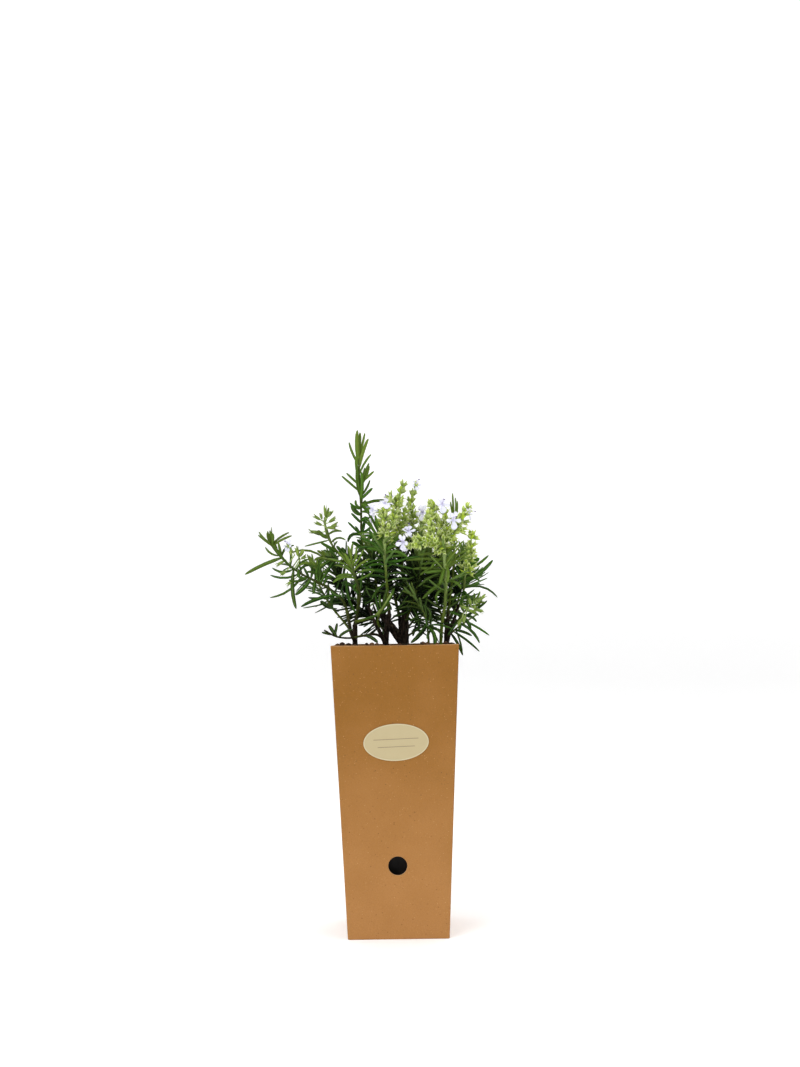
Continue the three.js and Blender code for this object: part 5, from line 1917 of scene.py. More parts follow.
@dataclass(frozen=True)
class FlowerShape:
    """An open flower: a tube, two upper lobes, two side lobes, a cupped lower lobe, and two long stamens."""

    root: float = 0.7
    throat: float = 1.7
    dish: float = 1.2
    sheet: float = 0.22
    lobes: tuple[Lobe, ...] = (
        Lobe(24, 6.6, 0.8, 4.5),
        Lobe(104, 6.0, 0.4, 3.7),
        Lobe(180, 7.3, 2.0, 6.2, cup=1.1, spots=1.0, notch=0.14),
        Lobe(256, 6.0, 0.4, 3.7),
        Lobe(336, 6.6, 0.8, 4.5),
    )
    stamen_turns: tuple[float, ...] = (12, -12)
    stamen_rise: float = 22
    stamen_bend: float = 34
    stamen_length: float = 8.5
    stamen_width: float = 0.8
    stamen_sunk: float = 1.4
    rows: int = 9
    columns: int = 7

    def petal(self, draft: Draft, axes: Axes, lobe: Lobe, size: float, draws: Draws) -> None:
        """Adds one lobe as a thin closed sheet.

        Args:
            draft: The flower's draft.
            axes: The throat and its directions.
            lobe: The lobe.
            size: The flower's size as a share of the usual.
            draws: The random numbers.
        """
        turn = math.radians(lobe.turn)
        radial = np.array(axes.across) * math.cos(turn) + np.array(axes.side) * math.sin(turn)
        sideways = -np.array(axes.across) * math.sin(turn) + np.array(axes.side) * math.cos(turn)
        along = np.array(axes.along)
        curl = draws.about(1.6)
        u, v = np.meshgrid(np.linspace(0, 1, self.rows), np.linspace(-1, 1, self.columns), indexing="ij")
        swell = 0.42 + 0.58 * np.clip(u / 0.62, 0, 1) ** 1.3
        tip_round = np.sqrt(np.clip(1 - (np.clip(u - 0.48, 0, 1) / 0.525) ** 2, 0, 1))
        half = lobe.width / 2 * size * draws.between(0.8, 1.15) * swell * tip_round
        inner = self.throat * size * 0.72
        far = lobe.reach * size * draws.between(0.82, 1.12)
        reach = inner + (far - inner) * (u - lobe.notch * u ** 3 * (1 - np.abs(v)) ** 1.5)
        lift = self.dish * np.sin(u * math.pi * 0.55) - lobe.back * size * u ** 2 * 1.15
        lift = lift + (lobe.cup * v ** 2 - lobe.cup * 0.4) * np.sin(u * math.pi) + curl * u ** 2
        lift = lift + 0.16 * np.sin(v * 5 + draws() * 6) * u
        offset = (v * half)[..., None] * sideways + reach[..., None] * radial
        top = np.array(axes.centre) + offset + lift[..., None] * along
        thick = self.sheet * (0.55 + 0.45 * tip_round * (1 - np.abs(v) ** 3))
        under = top - thick[..., None] * along
        count = self.rows * self.columns
        upper = grid_faces(self.rows, self.columns, closed=False)
        faces = upper[:, ::-1].tolist() + (upper + count).tolist()
        grid = np.arange(count).reshape(self.rows, self.columns)
        rim = np.concatenate([grid[0], grid[1:, -1], grid[-1, -2::-1], grid[-2:0:-1, 0]])
        ring = np.stack([rim, np.roll(rim, -1), np.roll(rim, -1) + count, rim + count], axis=1)
        faces += ring.tolist()
        points = np.concatenate([top.reshape(-1, 3), under.reshape(-1, 3)])
        throat = np.clip(1 - u * 1.6, 0, 1).reshape(-1)
        spots = (lobe.spots * np.clip(1 - np.abs(u - 0.45) * 2.2, 0, 1)).reshape(-1)
        draft.add(points, faces, throat=np.tile(throat, 2), spots=np.tile(spots, 2))

    def stamen(self, draft: Draft, bones: Bones, radius: float) -> None:
        """Adds one stamen: a bent thread with an anther.

        Args:
            draft: The flower's draft.
            bones: Its start, bend and tip.
            radius: The thread's radius.
        """
        path = Path([tuple(bone) for bone in bones])
        rings = []
        for i in range(9):
            rings.append(round_ring(path.axes(path.length * i / 8), radius * lerp(1, 0.7, i / 8), 6))
        draft.loft(rings, stamen=0.5)
        end = path.axes(path.length)
        grain = [(-0.6, 0.25), (-0.3, 0.42), (0.1, 0.46), (0.45, 0.34), (0.65, 0.15)]
        draft.loft([round_ring(end.ahead(rise), size, 7) for rise, size in grain], stamen=1.0)

    def lengths(self, axes: Axes, foot: Vector) -> tuple[list[Length], list[Bones]]:
        """Returns the round lengths that the flower takes up, and its stamens' bones.

        Args:
            axes: The throat and its directions.
            foot: Where the tube starts.

        Returns:
            The lengths, and each stamen's start, bend and tip.
        """
        taken = [Length(foot, axes.centre, (self.root, self.throat))]
        for lobe in self.lobes:
            outward = axes.leaning(math.radians(lobe.turn), math.pi / 2)
            end = axes.centre + outward * lobe.reach * 0.8
            taken.append(Length(axes.centre, end, (self.throat, self.throat)))
        start = axes.centre - axes.along * self.stamen_sunk
        half = self.stamen_width / 2 * 1.05
        stamens = []
        for turn in self.stamen_turns:
            low = axes.leaning(math.radians(turn), math.radians(self.stamen_rise))
            high = axes.leaning(math.radians(turn), math.radians(self.stamen_rise - self.stamen_bend))
            knee = start + low * self.stamen_length * 0.6
            tip = knee + high * self.stamen_length * 0.4
            stamens.append((start, knee, tip))
            taken.append(Length(start, knee, (half, half)))
            taken.append(Length(knee, tip, (half, half * 0.15)))
        return taken, stamens

    def add(self, draft: Draft, axes: Axes, foot: Vector, size: float, draws: Draws) -> None:
        """Adds the whole flower.

        Args:
            draft: The flower's draft.
            axes: The throat and its directions; the upper lip is towards `across`.
            foot: Where the tube starts.
            size: Its size as a share of the usual.
            draws: The random numbers.
        """
        rise = (axes.centre - foot).length
        neck = foot.lerp(axes.centre, 0.5).lerp(axes.centre - axes.along * rise * 0.5, 0.7)
        tube = Path([tuple(foot), tuple(neck), tuple(axes.centre)])
        wide = self.throat * size
        profile = [(0, self.root), (0.35, self.root * 1.1), (0.7, wide * 0.68), (0.94, wide * 0.92),
                   (1.0, wide), (0.96, wide * 0.8), (0.7, wide * 0.56)]
        rings = [round_ring(tube.axes(tube.length * share), radius, 14) for share, radius in profile]
        draft.loft(rings, throat=0.5)
        for lobe in self.lobes:
            self.petal(draft, axes, lobe, size, draws)
        for bones in self.lengths(axes, foot)[1]:
            self.stamen(draft, bones, self.stamen_width * 0.2)


FLOWER = FlowerShape()


# ---------------------------------------------------------------- the plant


@dataclass
class Growing:
    """What one node of the plant is made of while it grows."""

    node: str
    draft: Draft
    nearby: Neighbourhood

    def take(self, lengths: Iterable[Length]) -> None:
        """Marks room as taken by this node."""
        self.nearby.occupy(self.node, lengths)


@dataclass
class Needle:
    """A needle that has its place, and gets its surface once all needles are placed."""

    bones: Bones
    facing: Vector
    size: float
    twist: float
    tint: float
    youth: float


@dataclass
class Shoot:
    """A leafy stem that has its path, and how far its own green part goes."""

    plan: StemPlan
    path: Path
    foot: float
    end: float
    growing: Growing
    flowers: bool
    needles: list[Needle] = field(default_factory=list)


@dataclass
class FloweringHead:
    """A flower head that has its spikes' paths, and where each starts to flower."""

    plan: HeadPlan
    paths: list[Path]
    starts: list[float]
    growing: Growing
    mouths: list[Vector] = field(default_factory=list)


@dataclass
class Rosemary:
    """The whole plant: trunks, leafy stems, flower heads and open flowers."""

    box: GiftBox
    seed: int = 20417
    seat_gap: float = 0.3
    clearance: float = 0.4
    rim_clearance: float = 1.4
    tries: int = 16
    coarse_step: float = 11
    tuft_needles: int = 4
    tuft_angle: float = 15
    tuft_below_tip: float = 1.2
    spike_radii: Pair = (1.2, 0.7)
    spike_pitch: float = 5.8
    spike_first: float = 3.4
    spike_angles: Point = (66, 56, 36)
    leaf_width: float = 1.3
    chance_width: float = 0.8
    towards_front: Vector = field(default_factory=lambda: Vector((0.1, -1, 0.5)))
    behind: float = 1.2
    axil_share: float = 0.3
    fill_gap: float = 0.15
    thin_leaves: int = 4
    thick_gap: float = -1.2
    head_gap: float = 2.0
    head_step: float = 3.4
    branchlets: int = 3
    branchlet_angles: Pair = (58, 16)
    tip_gaps: float = 0.7
    bell_leans: tuple[float, ...] = (0, 58, 58)
    mouth_gap: float = 3.3
    bracts: int = 2
    # These set the needles' painted shade: the core that outward is measured from, the reach and crowd counts
    # that darken, and the heights under the canopy.
    crowd_core: Vector = field(default_factory=lambda: Vector((-8, 8, 262)))
    crowd_reach: float = 30
    crowd: Pair = (8, 72)
    canopy: Pair = (246, 292)
    canopy_shade: float = 0.66
    nearby: Neighbourhood = field(default_factory=Neighbourhood)
    trunks: dict[str, Growing] = field(default_factory=dict)
    shoots: list[Shoot] = field(default_factory=list)
    heads: dict[str, FloweringHead] = field(default_factory=dict)
    blooms: list[Growing] = field(default_factory=list)
    buds: dict[str, Draft] = field(default_factory=dict)
    bud_flowers: list[Draft] = field(default_factory=list)
    bud_twig: float = 0.5
    bud_flower_foot: Vector = field(default_factory=lambda: Vector((1.5, 2, -4.5)))

    LEAF_MARKS = ("stem", "tint", "youth", "under", "groove", "shade")
    CALYX_MARKS = ("stem", "tint", "youth", "edge", "deep", "shade")
    PETAL_MARKS = ("throat", "spots", "stamen")

    # ---- room

    def coarse_lengths(self, path: Path, span: Pair, radii: Pair) -> list[Length]:
        """Returns the straight lengths that a stretch of stem takes up."""
        steps = max(1, int((span[1] - span[0]) / self.coarse_step + 0.5))
        marks = [lerp(*span, i / steps) for i in range(steps + 1)]
        centres = [path.axes(mark).centre for mark in marks]
        sizes = [lerp(*radii, mark / path.length) for mark in marks]
        return [Length(centres[i], centres[i + 1], (sizes[i], sizes[i + 1])) for i in range(steps)]

    def clear_of_holder(self, length: Length) -> bool:
        """Tells whether a length keeps above the soil and the rim, or outside the box."""
        for share in (0, 0.25, 0.5, 0.75, 1):
            point = length.start.lerp(length.end, share)
            room = lerp(*length.radii, share) + self.rim_clearance
            sideways = max(abs(point.x), abs(point.y))
            if not (point.z > self.box.height + room or sideways > self.box.top / 2 + room):
                return False
        return True

    def fits(self, node: str, lengths: Iterable[Length], clearance: float | None = None) -> bool:
        """Tells whether lengths of a node keep clear of the holder and of other pieces."""
        gap = self.clearance if clearance is None else clearance
        return all(self.clear_of_holder(one) and self.nearby.clear(node, one, gap) for one in lengths)

    # ---- stems

    def grow_trunks(self) -> None:
        """Grows the woody bases."""
        for number, (name, limbs) in enumerate(TRUNKS.items()):
            growing = Growing(f"trunk_{name}", Draft(*self.LEAF_MARKS), self.nearby)
            self.trunks[name] = growing
            draws = Draws(self.seed + 900 + number)
            for limb in limbs:
                path = Path(limb.points)
                growing.take(self.coarse_lengths(path, (0, path.length), limb.radii))
                BARK_SHAPE.add(growing.draft, path, (0, path.length), limb.radii, draws, thin=0.95)

    def grow_stems(self) -> None:
        """Grows every stem, and the spikes of those that flower."""
        for number, plan in enumerate(STEMS):
            head = next((one for one in HEADS if one.stem == plan.name), None)
            path = Path(plan.points + (head.spikes[0] if head else ()))
            end = path.distance_of(len(plan.points) - 1)
            growing = Growing(f"leafy_stem_{plan.name}", Draft(*self.LEAF_MARKS), self.nearby)
            draws = Draws(self.seed + 700 + number)
            foot = 0.0
            if plan.trunk:
                trunk = self.trunks[plan.trunk]
                trunk.take(self.coarse_lengths(path, (0, plan.bark), plan.radii))
                TWIG_SHAPE.add(trunk.draft, path, (0, plan.bark), plan.radii, draws, thin=0.85, youth=(0, 1))
                foot = plan.bark + self.seat_gap
            growing.take(self.coarse_lengths(path, (foot, end), plan.radii))
            GREEN_SHAPE.add(growing.draft, path, (foot, end), plan.radii, draws, thin=0.74,
                            youth=(0.0, plan.pale), swell=0.08, dark=plan.dark)
            self.shoots.append(Shoot(plan, path, foot, end, growing, bool(head)))
            if head:
                self.grow_spikes(head, path, end, draws)

    def grow_spikes(self, plan: HeadPlan, path: Path, end: float, draws: Draws) -> None:
        """Grows the bare spikes of a flower head.

        Args:
            plan: The head.
            path: Its stem's line, which goes on through the first spike.
            end: Where the stem's own part ends.
            draws: The random numbers.
        """
        growing = Growing(f"flower_head_{plan.name}", Draft(*self.CALYX_MARKS), self.nearby)
        paths = [path] + [Path(points) for points in plan.spikes[1:]]
        starts = [end + self.seat_gap] + [0.0] * (len(paths) - 1)
        for line, start in zip(paths, starts):
            growing.take(self.coarse_lengths(line, (start, line.length), self.spike_radii))
            GREEN_SHAPE.add(growing.draft, line, (start, line.length), self.spike_radii, draws, thin=0.8)
        self.heads[plan.name] = FloweringHead(plan, paths, starts, growing)

    # ---- flowers

    def bell_lengths(self, axes: Axes, length: float) -> list[Length]:
        """Returns the round length that a calyx takes up."""
        return [Length(axes.centre, axes.centre + axes.along * length, (CALYX.root, CALYX.room))]

    def grow_flowers(self) -> None:
        """Grows the open flowers, each on its own calyx."""
        for number, plan in enumerate(FLOWERS, start=1):
            head = self.heads[plan.head]
            throat = Vector(plan.throat)
            _, root = min((line.nearest(throat) for line in head.paths), key=lambda found: found[0])
            seat = Axes.of(root, throat - root, UP)
            head.growing.take(self.bell_lengths(seat, CALYX.whole))
            head.mouths.append(root + seat.along * CALYX.whole)
            CALYX.add(head.growing.draft, seat, CALYX.whole, 1.15, 0.6)
            foot = root + seat.along * (CALYX.whole - self.seat_gap)
            growing = Growing(f"bloom_{number:02d}", Draft(*self.PETAL_MARKS), self.nearby)
            axes = Axes.of(throat, Vector(plan.facing) if plan.facing else seat.along, UP)
            growing.take(FLOWER.lengths(axes, foot)[0])
            FLOWER.add(growing.draft, axes, foot, plan.size, Draws(self.seed + 300 + number))
            self.blooms.append(growing)

    def grow_calyces(self) -> None:
        """Grows pairs of calyces up each spike."""
        for number, head in enumerate(self.heads.values()):
            draws = Draws(self.seed + 500 + number)
            tints = Draws(self.seed + 600 + number)
            for path, start in zip(head.paths, head.starts):
                pairs = math.floor((path.length - start - self.spike_first) / self.spike_pitch)
                for i in range(pairs + 1):
                    share = i / max(pairs, 1)
                    axes = path.axes(start + self.spike_first + i * self.spike_pitch)
                    for side in (0, 1):
                        turn = i * math.pi / 2 + side * math.pi + (draws() - 0.5) * 0.5
                        angle = math.radians(blend(self.spike_angles, share) + (draws() - 0.5) * 10)
                        self.grow_calyx(head, axes, turn, angle, CALYX.whole * lerp(1, 0.8, share), tints)

    def grow_calyx(self, head: FloweringHead, axes: Axes, turn: float, angle: float, length: float,
                   tints: Draws) -> None:
        """Grows one calyx where it has room.

        Args:
            head: The flower head.
            axes: The spike's place and directions.
            turn: The side of the spike, in radians.
            angle: How far it leans from the spike.
            length: Its length.
            tints: The random numbers for its colour and size.
        """
        seat = Axes.of(axes.centre, axes.leaning(turn, angle), axes.along)
        taken = self.bell_lengths(seat, length)
        if self.fits(head.growing.node, taken):
            head.growing.take(taken)
            head.mouths.append(taken[0].end)
            tint = clamp(head.plan.yellow + tints.about(0.35))
            CALYX.add(head.growing.draft, seat, length, tints.between(0.9, 1.15), tint)

    def fill_head(self, number: int, head: FloweringHead) -> None:
        """Crowds a flower head with side twigs that carry more calyces, and with small leaves between them.

        Args:
            number: The head's number.
            head: The flower head.
        """
        draws, draft = Draws(self.seed + 7000 + number), head.growing.draft
        for path, start in zip(head.paths, head.starts):
            low = max(start, self.head_gap)
            steps = int((path.length - low) / self.head_step)
            for i in range(steps + 1):
                share = i / max(steps, 1)
                axes = path.axes(low + i * self.head_step)
                for k in range(self.branchlets):
                    turn = (i * self.branchlets + k) * 2.4 + draws.about(0.5)
                    angle = math.radians(lerp(*self.branchlet_angles, share) + draws.about(14))
                    if draws() < share * self.tip_gaps:
                        continue
                    twig = Axes.of(axes.centre, axes.leaning(turn, angle), axes.along)
                    self.grow_branchlet(head, twig, head.plan.bush * lerp(1.15, 0.5, share), share, draws)
                for _ in range(self.bracts):
                    turn, angle = draws() * FULL_TURN, math.radians(lerp(75, 35, share))
                    length = draws.between(5, 8) * lerp(1, 0.6, share)
                    bract = self.needle_bones(axes, turn, angle, length, 0, draws)
                    NEEDLE.add(draft, bract, axes.along, draws.between(0.7, 1.2), draws.about(0.8),
                               tint=clamp(head.plan.yellow + draws.about(0.4)))

    def grow_branchlet(self, head: FloweringHead, twig: Axes, reach: float, share: float,
                       draws: Draws) -> None:
        """Grows a side twig with a calyx at its tip and others that lean away from it.

        Args:
            head: The flower head.
            twig: Where the twig leaves the spike, and its directions.
            reach: Its usual length.
            share: How far up the spike it grows.
            draws: The random numbers.
        """
        reach *= draws.between(0.5, 1.3)
        tip = twig.ahead(reach)
        draft = head.growing.draft
        draft.rod((twig, tip), CALYX.stalk_radius, stem=1.0)
        around = draws() * math.pi
        for number, lean in enumerate(self.bell_leans):
            way = twig.leaning(around + number * math.pi, math.radians(lean + draws.about(12)))
            foot = tip.centre.lerp(twig.centre, 0.0 if number == 0 else 0.45)
            length = CALYX.whole * draws.between(0.75, 1.1) * lerp(1, 0.8, share)
            mouth = foot + way * length
            if any((mouth - other).length < self.mouth_gap for other in head.mouths):
                continue
            if not self.fits(head.growing.node, [Length(foot, mouth, (0.4, 1.2))], 0.0):
                continue
            head.mouths.append(mouth)
            tint = clamp(head.plan.yellow + draws.about(0.55))
            CALYX.add(draft, Axes.of(foot, way, UP), length, draws.between(0.85, 1.15), tint)

    def grow_buds(self) -> None:
        """Grows the closed calyces near the tips of stems that don't flower."""
        for number, cluster in enumerate(BUDS):
            draws = Draws(self.seed + 8000 + number)
            draft = Draft(*self.CALYX_MARKS)
            line = next(shoot.path for shoot in self.shoots if shoot.plan.name == cluster.stem)
            for x, z, right, above in cluster.buds:
                foot = Vector((x, cluster.y, z))
                _, root = line.nearest(foot)
                twig = Axes.of(root, foot - root, UP)
                draft.rod((twig, replace(twig, centre=foot)), self.bud_twig, stem=1.0)
                reach = Vector((right, draws.about(2) - 2, above))
                turned = Vector((draws.about(1), draws.about(1), 1))
                # Painted shade darkens the closed buds' bodies.
                CALYX.add(draft, Axes.of(foot, reach, turned), reach.length * draws.between(1.0, 1.3),
                          draws.between(0.75, 1.0), draws() * 0.35, downy=0.12, painted_body_shade=0.6)
            self.buds[cluster.stem] = draft
            if cluster.flower:
                throat = Vector(cluster.flower.throat)
                foot = throat + self.bud_flower_foot
                axes = Axes.of(throat, Vector(cluster.flower.facing), UP)
                petals = Draft(*self.PETAL_MARKS)
                FLOWER.add(petals, axes, foot, cluster.flower.size, draws)
                seat = Axes.of(foot + self.bud_flower_foot, -self.bud_flower_foot, UP)
                CALYX.add(draft, seat, CALYX.whole, 0.9, 0.4)
                self.bud_flowers.append(petals)

    # ---- needles

    def needle_bones(self, axes: Axes, turn: float, angle: float, length: float, droop: float,
                     draws: Draws) -> Bones:
        """Returns a needle's start, knee and tip.

        Args:
            axes: The stem's place and directions.
            turn: The side of the stem, in radians.
            angle: How far it leans from the stem.
            length: Its length.
            droop: How much it hangs.
            draws: The random numbers.

        Returns:
            The three points.
        """
        leave = (axes.leaning(turn, angle) - UP * droop * 0.4).normalized()
        curl = (draws() - 0.4) * 0.5
        arrive = (leave + axes.along * curl - UP * droop * 0.6).normalized()
        start = axes.centre - leave * NEEDLE.past_axis
        knee = start + leave * length * NEEDLE.knee
        return start, knee, knee + arrive * length * (1 - NEEDLE.knee)

    def put_needle(self, shoot: Shoot, facing: Vector, bones: Bones, share: float,
                   looks: Draws, size: float = 1.0) -> None:
        """Places a needle and takes its room.

        Args:
            shoot: The stem.
            facing: The direction that its top looks in.
            bones: The needle's start, knee and tip.
            share: How far up the leafy part it grows.
            looks: The random numbers for its looks.
            size: Its width as a share of the usual.
        """
        shoot.growing.take(NEEDLE.lengths(*bones))
        youth = clamp(0.75 * smooth((share - 0.45) / 0.6) + looks.about(0.15))
        rolled = facing + Vector((looks.about(0.5), looks.about(0.5), looks.about(0.5)))
        wide, twist = size * looks.between(0.92, 1.1), looks.about(0.5)
        shoot.needles.append(Needle(bones, rolled, wide, twist, looks(), youth))

    def grow_leaves(self, shoot: Shoot, path: Path, rows: Iterable[Leaf], looks: Draws) -> None:
        """Places the needles whose places the photograph shows.

        Args:
            shoot: The stem.
            path: The line of the stem or of its side shoot.
            rows: The needles.
            looks: The random numbers for their looks.
        """
        for leaf in rows:
            share = leaf.at / 100
            start = path.axes(share * path.length).centre
            tip = start + Vector((leaf.right, leaf.behind, leaf.above))
            lift = Vector((-leaf.above, 0, leaf.right)).normalized() * (1 if leaf.right > 0 else -1)
            knee = start.lerp(tip, NEEDLE.knee) + lift * leaf.arch
            size = leaf.width / NEEDLE.width * self.leaf_width * shoot.plan.broad
            self.put_needle(shoot, self.towards_front, (start, knee, tip), share, looks, size)

    def grow_needle(self, shoot: Shoot, axes: Axes, wish: dict[str, float], share: float, draws: Draws,
                    looks: Draws) -> None:
        """Grows a needle in the first free direction near the wished one, or none.

        Args:
            shoot: The stem.
            axes: The stem's place and directions.
            wish: The wished turn, angle, length and droop.
            share: How far up the leafy part it grows.
            draws: The random numbers for its place.
            looks: The random numbers for its looks.
        """
        for attempt in range(self.tries):
            spread = 0.12 + attempt * 0.04
            turn = wish["turn"] + (draws() - 0.5) * 4 * spread
            angle = math.radians(wish["angle"]) + (draws() - 0.5) * 2 * spread
            length = wish["length"] * (1 - 0.03 * attempt) * lerp(0.88, 1.12, draws())
            bones = self.needle_bones(axes, turn, angle, length, wish["droop"], draws)
            if self.fits(shoot.growing.node, NEEDLE.lengths(*bones)):
                if not self.hides_known(shoot, bones):
                    self.put_needle(shoot, axes.along, bones, share, looks, self.chance_width)
                return

    def hides_known(self, shoot: Shoot, bones: Bones) -> bool:
        """Tells whether a chance needle would show among needles whose places are all known."""
        reach = bones[2] - bones[0]
        return shoot.plan.known and reach.y < abs(reach.x) * self.behind

    def grow_needles(self, number: int, shoot: Shoot) -> None:
        """Grows a stem's needles: pairs, each square to the last, and a tuft at a tip without flowers.

        Args:
            number: The stem's number.
            shoot: The stem.
        """
        plan, path = shoot.plan, shoot.path
        draws, looks = Draws(self.seed + number), Draws(self.seed + 1000 + number)
        lowest = shoot.foot + plan.bare
        pairs = math.floor((shoot.end - lowest - 2) / plan.pitch)
        for i in range(pairs + 1):
            share = i / max(pairs, 1)
            axes = path.axes(lowest + i * plan.pitch)
            angle, length = blend(plan.angles, share), blend(plan.lengths, share)
            for side in (0, 1):
                turn = i * math.pi / 2 + side * math.pi
                wish = {"turn": turn, "angle": angle, "length": length, "droop": plan.droop}
                self.grow_needle(shoot, axes, wish, share, draws, looks)
        if shoot.flowers or plan.known:
            return
        tip = path.axes(shoot.end - self.tuft_below_tip)
        for i in range(self.tuft_needles):
            turn = (pairs + 1 + 2 * (i / self.tuft_needles)) * math.pi + 0.4
            wish = {"turn": turn, "angle": self.tuft_angle, "length": plan.lengths[2], "droop": 0}
            self.grow_needle(shoot, tip, wish, 1.0, draws, looks)

    def fill_needles(self, number: int, shoot: Shoot) -> None:
        """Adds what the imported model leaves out: pairs between the pairs, and small leaves in their axils.

        Args:
            number: The stem's number.
            shoot: The stem.
        """
        plan = shoot.plan
        draws, looks = Draws(self.seed + 2000 + number), Draws(self.seed + 3000 + number)
        node = shoot.growing.node
        lowest = shoot.foot + plan.bare
        pairs = math.floor((shoot.end - lowest - 2) / plan.pitch)
        for i in range(pairs * 2 + 2):
            share = clamp(i / max(pairs * 2, 1))
            axes = shoot.path.axes(min(lowest + (i * 0.5 + 0.25) * plan.pitch, shoot.end - 1))
            for k in range(plan.thick or self.thin_leaves):
                large = plan.thick > 0 or (k < 2 and i % 2 == 1)
                if not large and draws() > self.axil_share:
                    continue
                turn = (i // 2) * math.pi / 2 + math.pi / 2 * (i % 2) + k * math.pi + draws.about(0.9)
                angle = math.radians(blend(plan.angles, share) * (1 if large else draws.between(0.3, 0.8)))
                length = blend(plan.lengths, share) * draws.between(*((0.75, 1.0) if large else (0.3, 0.6)))
                bones = self.needle_bones(axes, turn, angle, length, plan.droop, draws)
                gap = self.thick_gap if plan.thick else self.fill_gap
                if self.fits(node, NEEDLE.lengths(*bones), gap) and not self.hides_known(shoot, bones):
                    size = self.chance_width * (1.0 if large else 0.75)
                    self.put_needle(shoot, axes.along, bones, share, looks, size)

    def grow_side_shoots(self, number: int, shoot: Shoot) -> None:
        """Grows the short side shoots of a stem, with their needles."""
        draws, looks = Draws(self.seed + 4000 + number), Draws(self.seed + 5000 + number)
        for side in shoot.plan.shoots:
            path = Path(side.points)
            radii = (side.radius * 1.1, side.radius * 0.9)
            GREEN_SHAPE.add(shoot.growing.draft, path, (0, path.length), radii, draws, youth=(0.0, 0.4),
                            dark=shoot.plan.dark)
            self.grow_leaves(shoot, path, side.leaves, looks)

    def dress_needles(self) -> None:
        """Gives every needle its surface, with painted shade where others stand between it and the open, and
        low under the canopy.
        """
        needles = [(shoot, needle) for shoot in self.shoots for needle in shoot.needles]
        middles = np.array([tuple(needle.bones[1]) for _, needle in needles])
        outward = middles - np.array(self.crowd_core)
        outward /= np.linalg.norm(outward, axis=1)[:, None]
        for (shoot, needle), middle, way in zip(needles, middles, outward):
            apart = middles - middle
            near = np.linalg.norm(apart, axis=1) < self.crowd_reach
            crowd = int((near & (apart @ way > 2)).sum())
            # Painted shade: more needles further out within reach darken a needle, and so does hanging low
            # under the canopy.
            shade = smooth((crowd - self.crowd[0]) / (self.crowd[1] - self.crowd[0]))
            low = smooth((self.canopy[1] - middle[2]) / (self.canopy[1] - self.canopy[0]))
            shade += (1 - shade) * low * self.canopy_shade * clamp(0.4 + crowd / self.crowd[0])
            # A stem's light adds painted light through the youth mark, or painted shade where it is below 0.
            light = shoot.plan.light
            youth, shade = clamp(needle.youth + max(light, 0)), clamp(shade - min(light, 0))
            NEEDLE.add(shoot.growing.draft, needle.bones, needle.facing, needle.size, needle.twist,
                       tint=needle.tint, youth=youth, shade=shade)
        log.info("%d needles", len(needles))

    # ---- all

    def build(self) -> None:
        """Grows the plant in the order in which its pieces make room for each other, and dresses it."""
        self.grow_trunks()
        self.grow_stems()
        self.grow_flowers()
        self.grow_calyces()
        for number, head in enumerate(self.heads.values()):
            self.fill_head(number, head)
        for number, shoot in enumerate(self.shoots):
            self.grow_leaves(shoot, shoot.path, shoot.plan.leaves, Draws(self.seed + 6000 + number))
        for number, shoot in enumerate(self.shoots):
            self.grow_needles(number, shoot)
            self.grow_side_shoots(number, shoot)
        for number, shoot in enumerate(self.shoots):
            self.fill_needles(number, shoot)
        self.dress_needles()
        self.grow_buds()
        bark, leaf = BarkFinish().material(), LeafFinish().material()
        calyx, petal = CalyxFinish().material(), PetalFinish().material()
        for growing in self.trunks.values():
            wood = growing.draft.to_object(f"wood_{growing.node}", bark)
            settle(wood, Slot.BARK, growing.node)
        for shoot in self.shoots:
            sprig = shoot.growing.draft.to_object(f"sprig_{shoot.plan.name}", leaf)
            settle(sprig, Slot.LEAF, shoot.growing.node)
        for head in self.heads.values():
            spike = head.growing.draft.to_object(f"spike_{head.plan.name}", calyx)
            settle(spike, Slot.CALYX, head.growing.node)
        for stem, draft in self.buds.items():
            settle(draft.to_object(f"buds_{stem}", calyx), Slot.CALYX)
        for number, petals in enumerate(self.bud_flowers, start=len(self.blooms) + 1):
            settle(petals.to_object(f"open_flower_{number:02d}", petal), Slot.PETAL)
        for growing in self.blooms:
            flower = growing.draft.to_object(f"open_flower_{growing.node[-2:]}", petal)
            settle(flower, Slot.PETAL, growing.node)


# ---------------------------------------------------------------- studio


@dataclass(frozen=True)
class Softbox:
    """One soft light."""

    name: str
    place: Point
    aim: Point
    size: float
    power: float


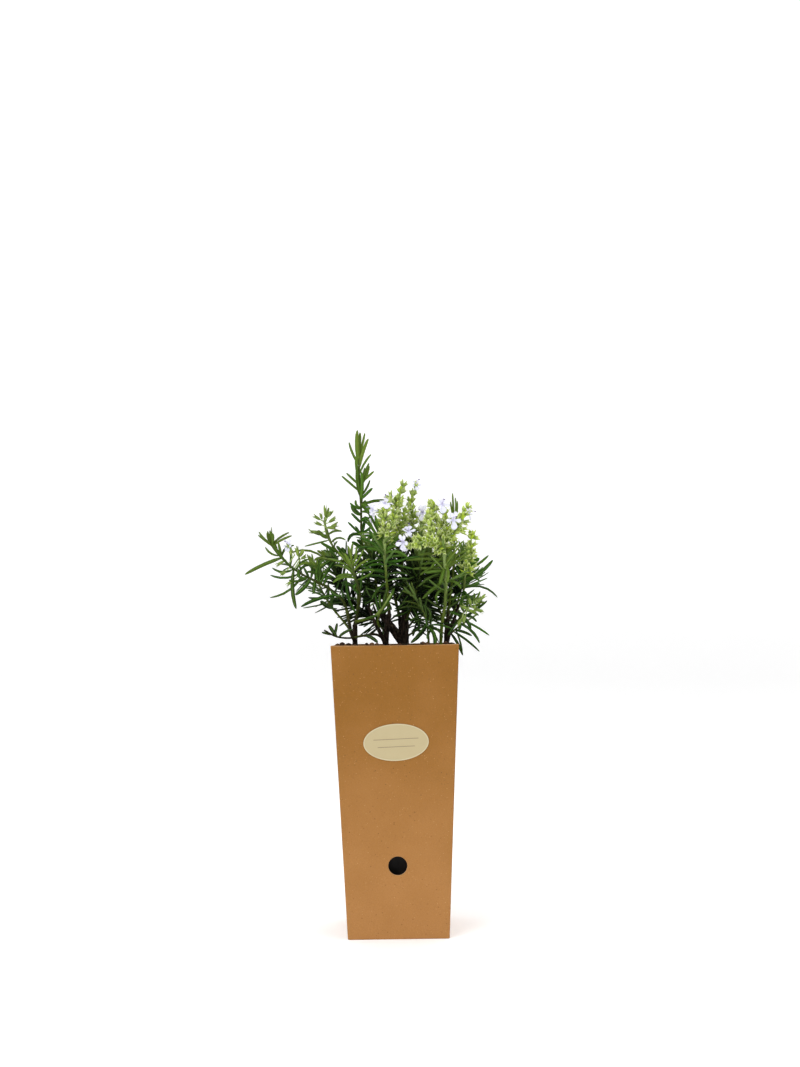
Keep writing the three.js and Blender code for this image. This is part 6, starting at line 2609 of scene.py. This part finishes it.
@dataclass
class Studio:
    """The camera, the pale floor and the soft light."""

    camera_distance: float = 1048
    camera_height: float = 245
    roll: float = 0.79
    focal_pixels: float = 1286.7
    long_side: float = 1067
    shift_pixels: Pair = (5.5, 93.2)
    sensor: float = 36
    floor_flat: float = 1500
    floor_reach: float = 3200
    floor_rise: float = 2600
    floor_sides: int = 96
    world_strength: float = 0.22
    lights: tuple[Softbox, ...] = (
        Softbox("key", (-900, -1300, 1300), (0, 0, 220), 1100, 14),
        Softbox("fill", (1200, -1100, 800), (0, 0, 200), 1200, 5),
        Softbox("top", (0, 100, 1700), (0, 0, 200), 1300, 9),
        Softbox("back", (500, 1300, 1100), (0, 0, 250), 1000, 4),
    )

    def build(self) -> None:
        """Sets up the camera, the floor and the light."""
        self.make_camera()
        self.make_floor()
        for light in self.lights:
            self.make_light(light)
        world = bpy.data.worlds.new("soft_white")
        world.use_nodes = True
        background = world.node_tree.nodes["Background"]
        background.inputs["Color"].default_value = (1, 1, 1, 1)
        background.inputs["Strength"].default_value = self.world_strength
        bpy.context.scene.world = world
        bpy.context.scene.view_settings.view_transform = "Standard"

    def make_camera(self) -> None:
        """Places the camera where the photograph was taken from."""
        data = bpy.data.cameras.new("view")
        data.sensor_width = self.sensor
        data.lens = self.focal_pixels / self.long_side * self.sensor
        data.shift_x, data.shift_y = (pixels / self.long_side for pixels in self.shift_pixels)
        camera = bpy.data.objects.new("view", data)
        bpy.context.scene.collection.objects.link(camera)
        turn = math.radians(self.roll)
        right = Vector((math.cos(turn), 0, -math.sin(turn)))
        up = Vector((math.sin(turn), 0, math.cos(turn)))
        rotation = Matrix((right, up, Vector((0, -1, 0)))).transposed()
        stand = Matrix.Translation((0, -self.camera_distance * MM, self.camera_height * MM))
        camera.matrix_world = stand @ rotation.to_4x4()
        bpy.context.scene.camera = camera

    def make_floor(self) -> None:
        """Makes a pale floor that curves up far from the object on every side."""
        profile = [(self.floor_flat * share, 0.0) for share in (0.02, 0.3, 0.7, 1.0)]
        for i in range(1, 17):
            turn = i / 16 * math.pi / 2
            profile.append((lerp(self.floor_flat, self.floor_reach, math.sin(turn)),
                            self.floor_rise * (1 - math.cos(turn))))
        sides = self.floor_sides
        rings = [np.column_stack([circle(sides) * reach, np.full(sides, rise)]) for reach, rise in profile]
        faces = grid_faces(len(rings), sides, closed=True)[:, ::-1].tolist()
        faces.append(list(range(sides)))
        draft = Draft()
        draft.add(np.concatenate(rings), faces)
        floor = draft.to_object("pale_floor", StudioFinish().material())

    def make_light(self, light: Softbox) -> None:
        """Hangs one soft light."""
        data = bpy.data.lights.new(light.name, "AREA")
        data.shape = "DISK"
        data.size = light.size * MM
        data.energy = light.power
        lamp = bpy.data.objects.new(light.name, data)
        bpy.context.scene.collection.objects.link(lamp)
        lamp.location = Vector(light.place) * MM
        aim = Vector(light.aim) - Vector(light.place)
        lamp.rotation_euler = aim.to_track_quat("-Z", "Y").to_euler()


def main() -> None:
    """Builds and dresses the potted rosemary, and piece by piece."""
    logging.basicConfig(level=logging.INFO, format="%(name)s: %(message)s")
    Studio().build()
    box = GiftBox()
    box.build()
    OvalLabel(box).build()
    pot = NurseryPot(box)
    pot.build()
    PottingSoil(pot).build()
    Rosemary(box).build()


if __name__ == "__main__":
    main()
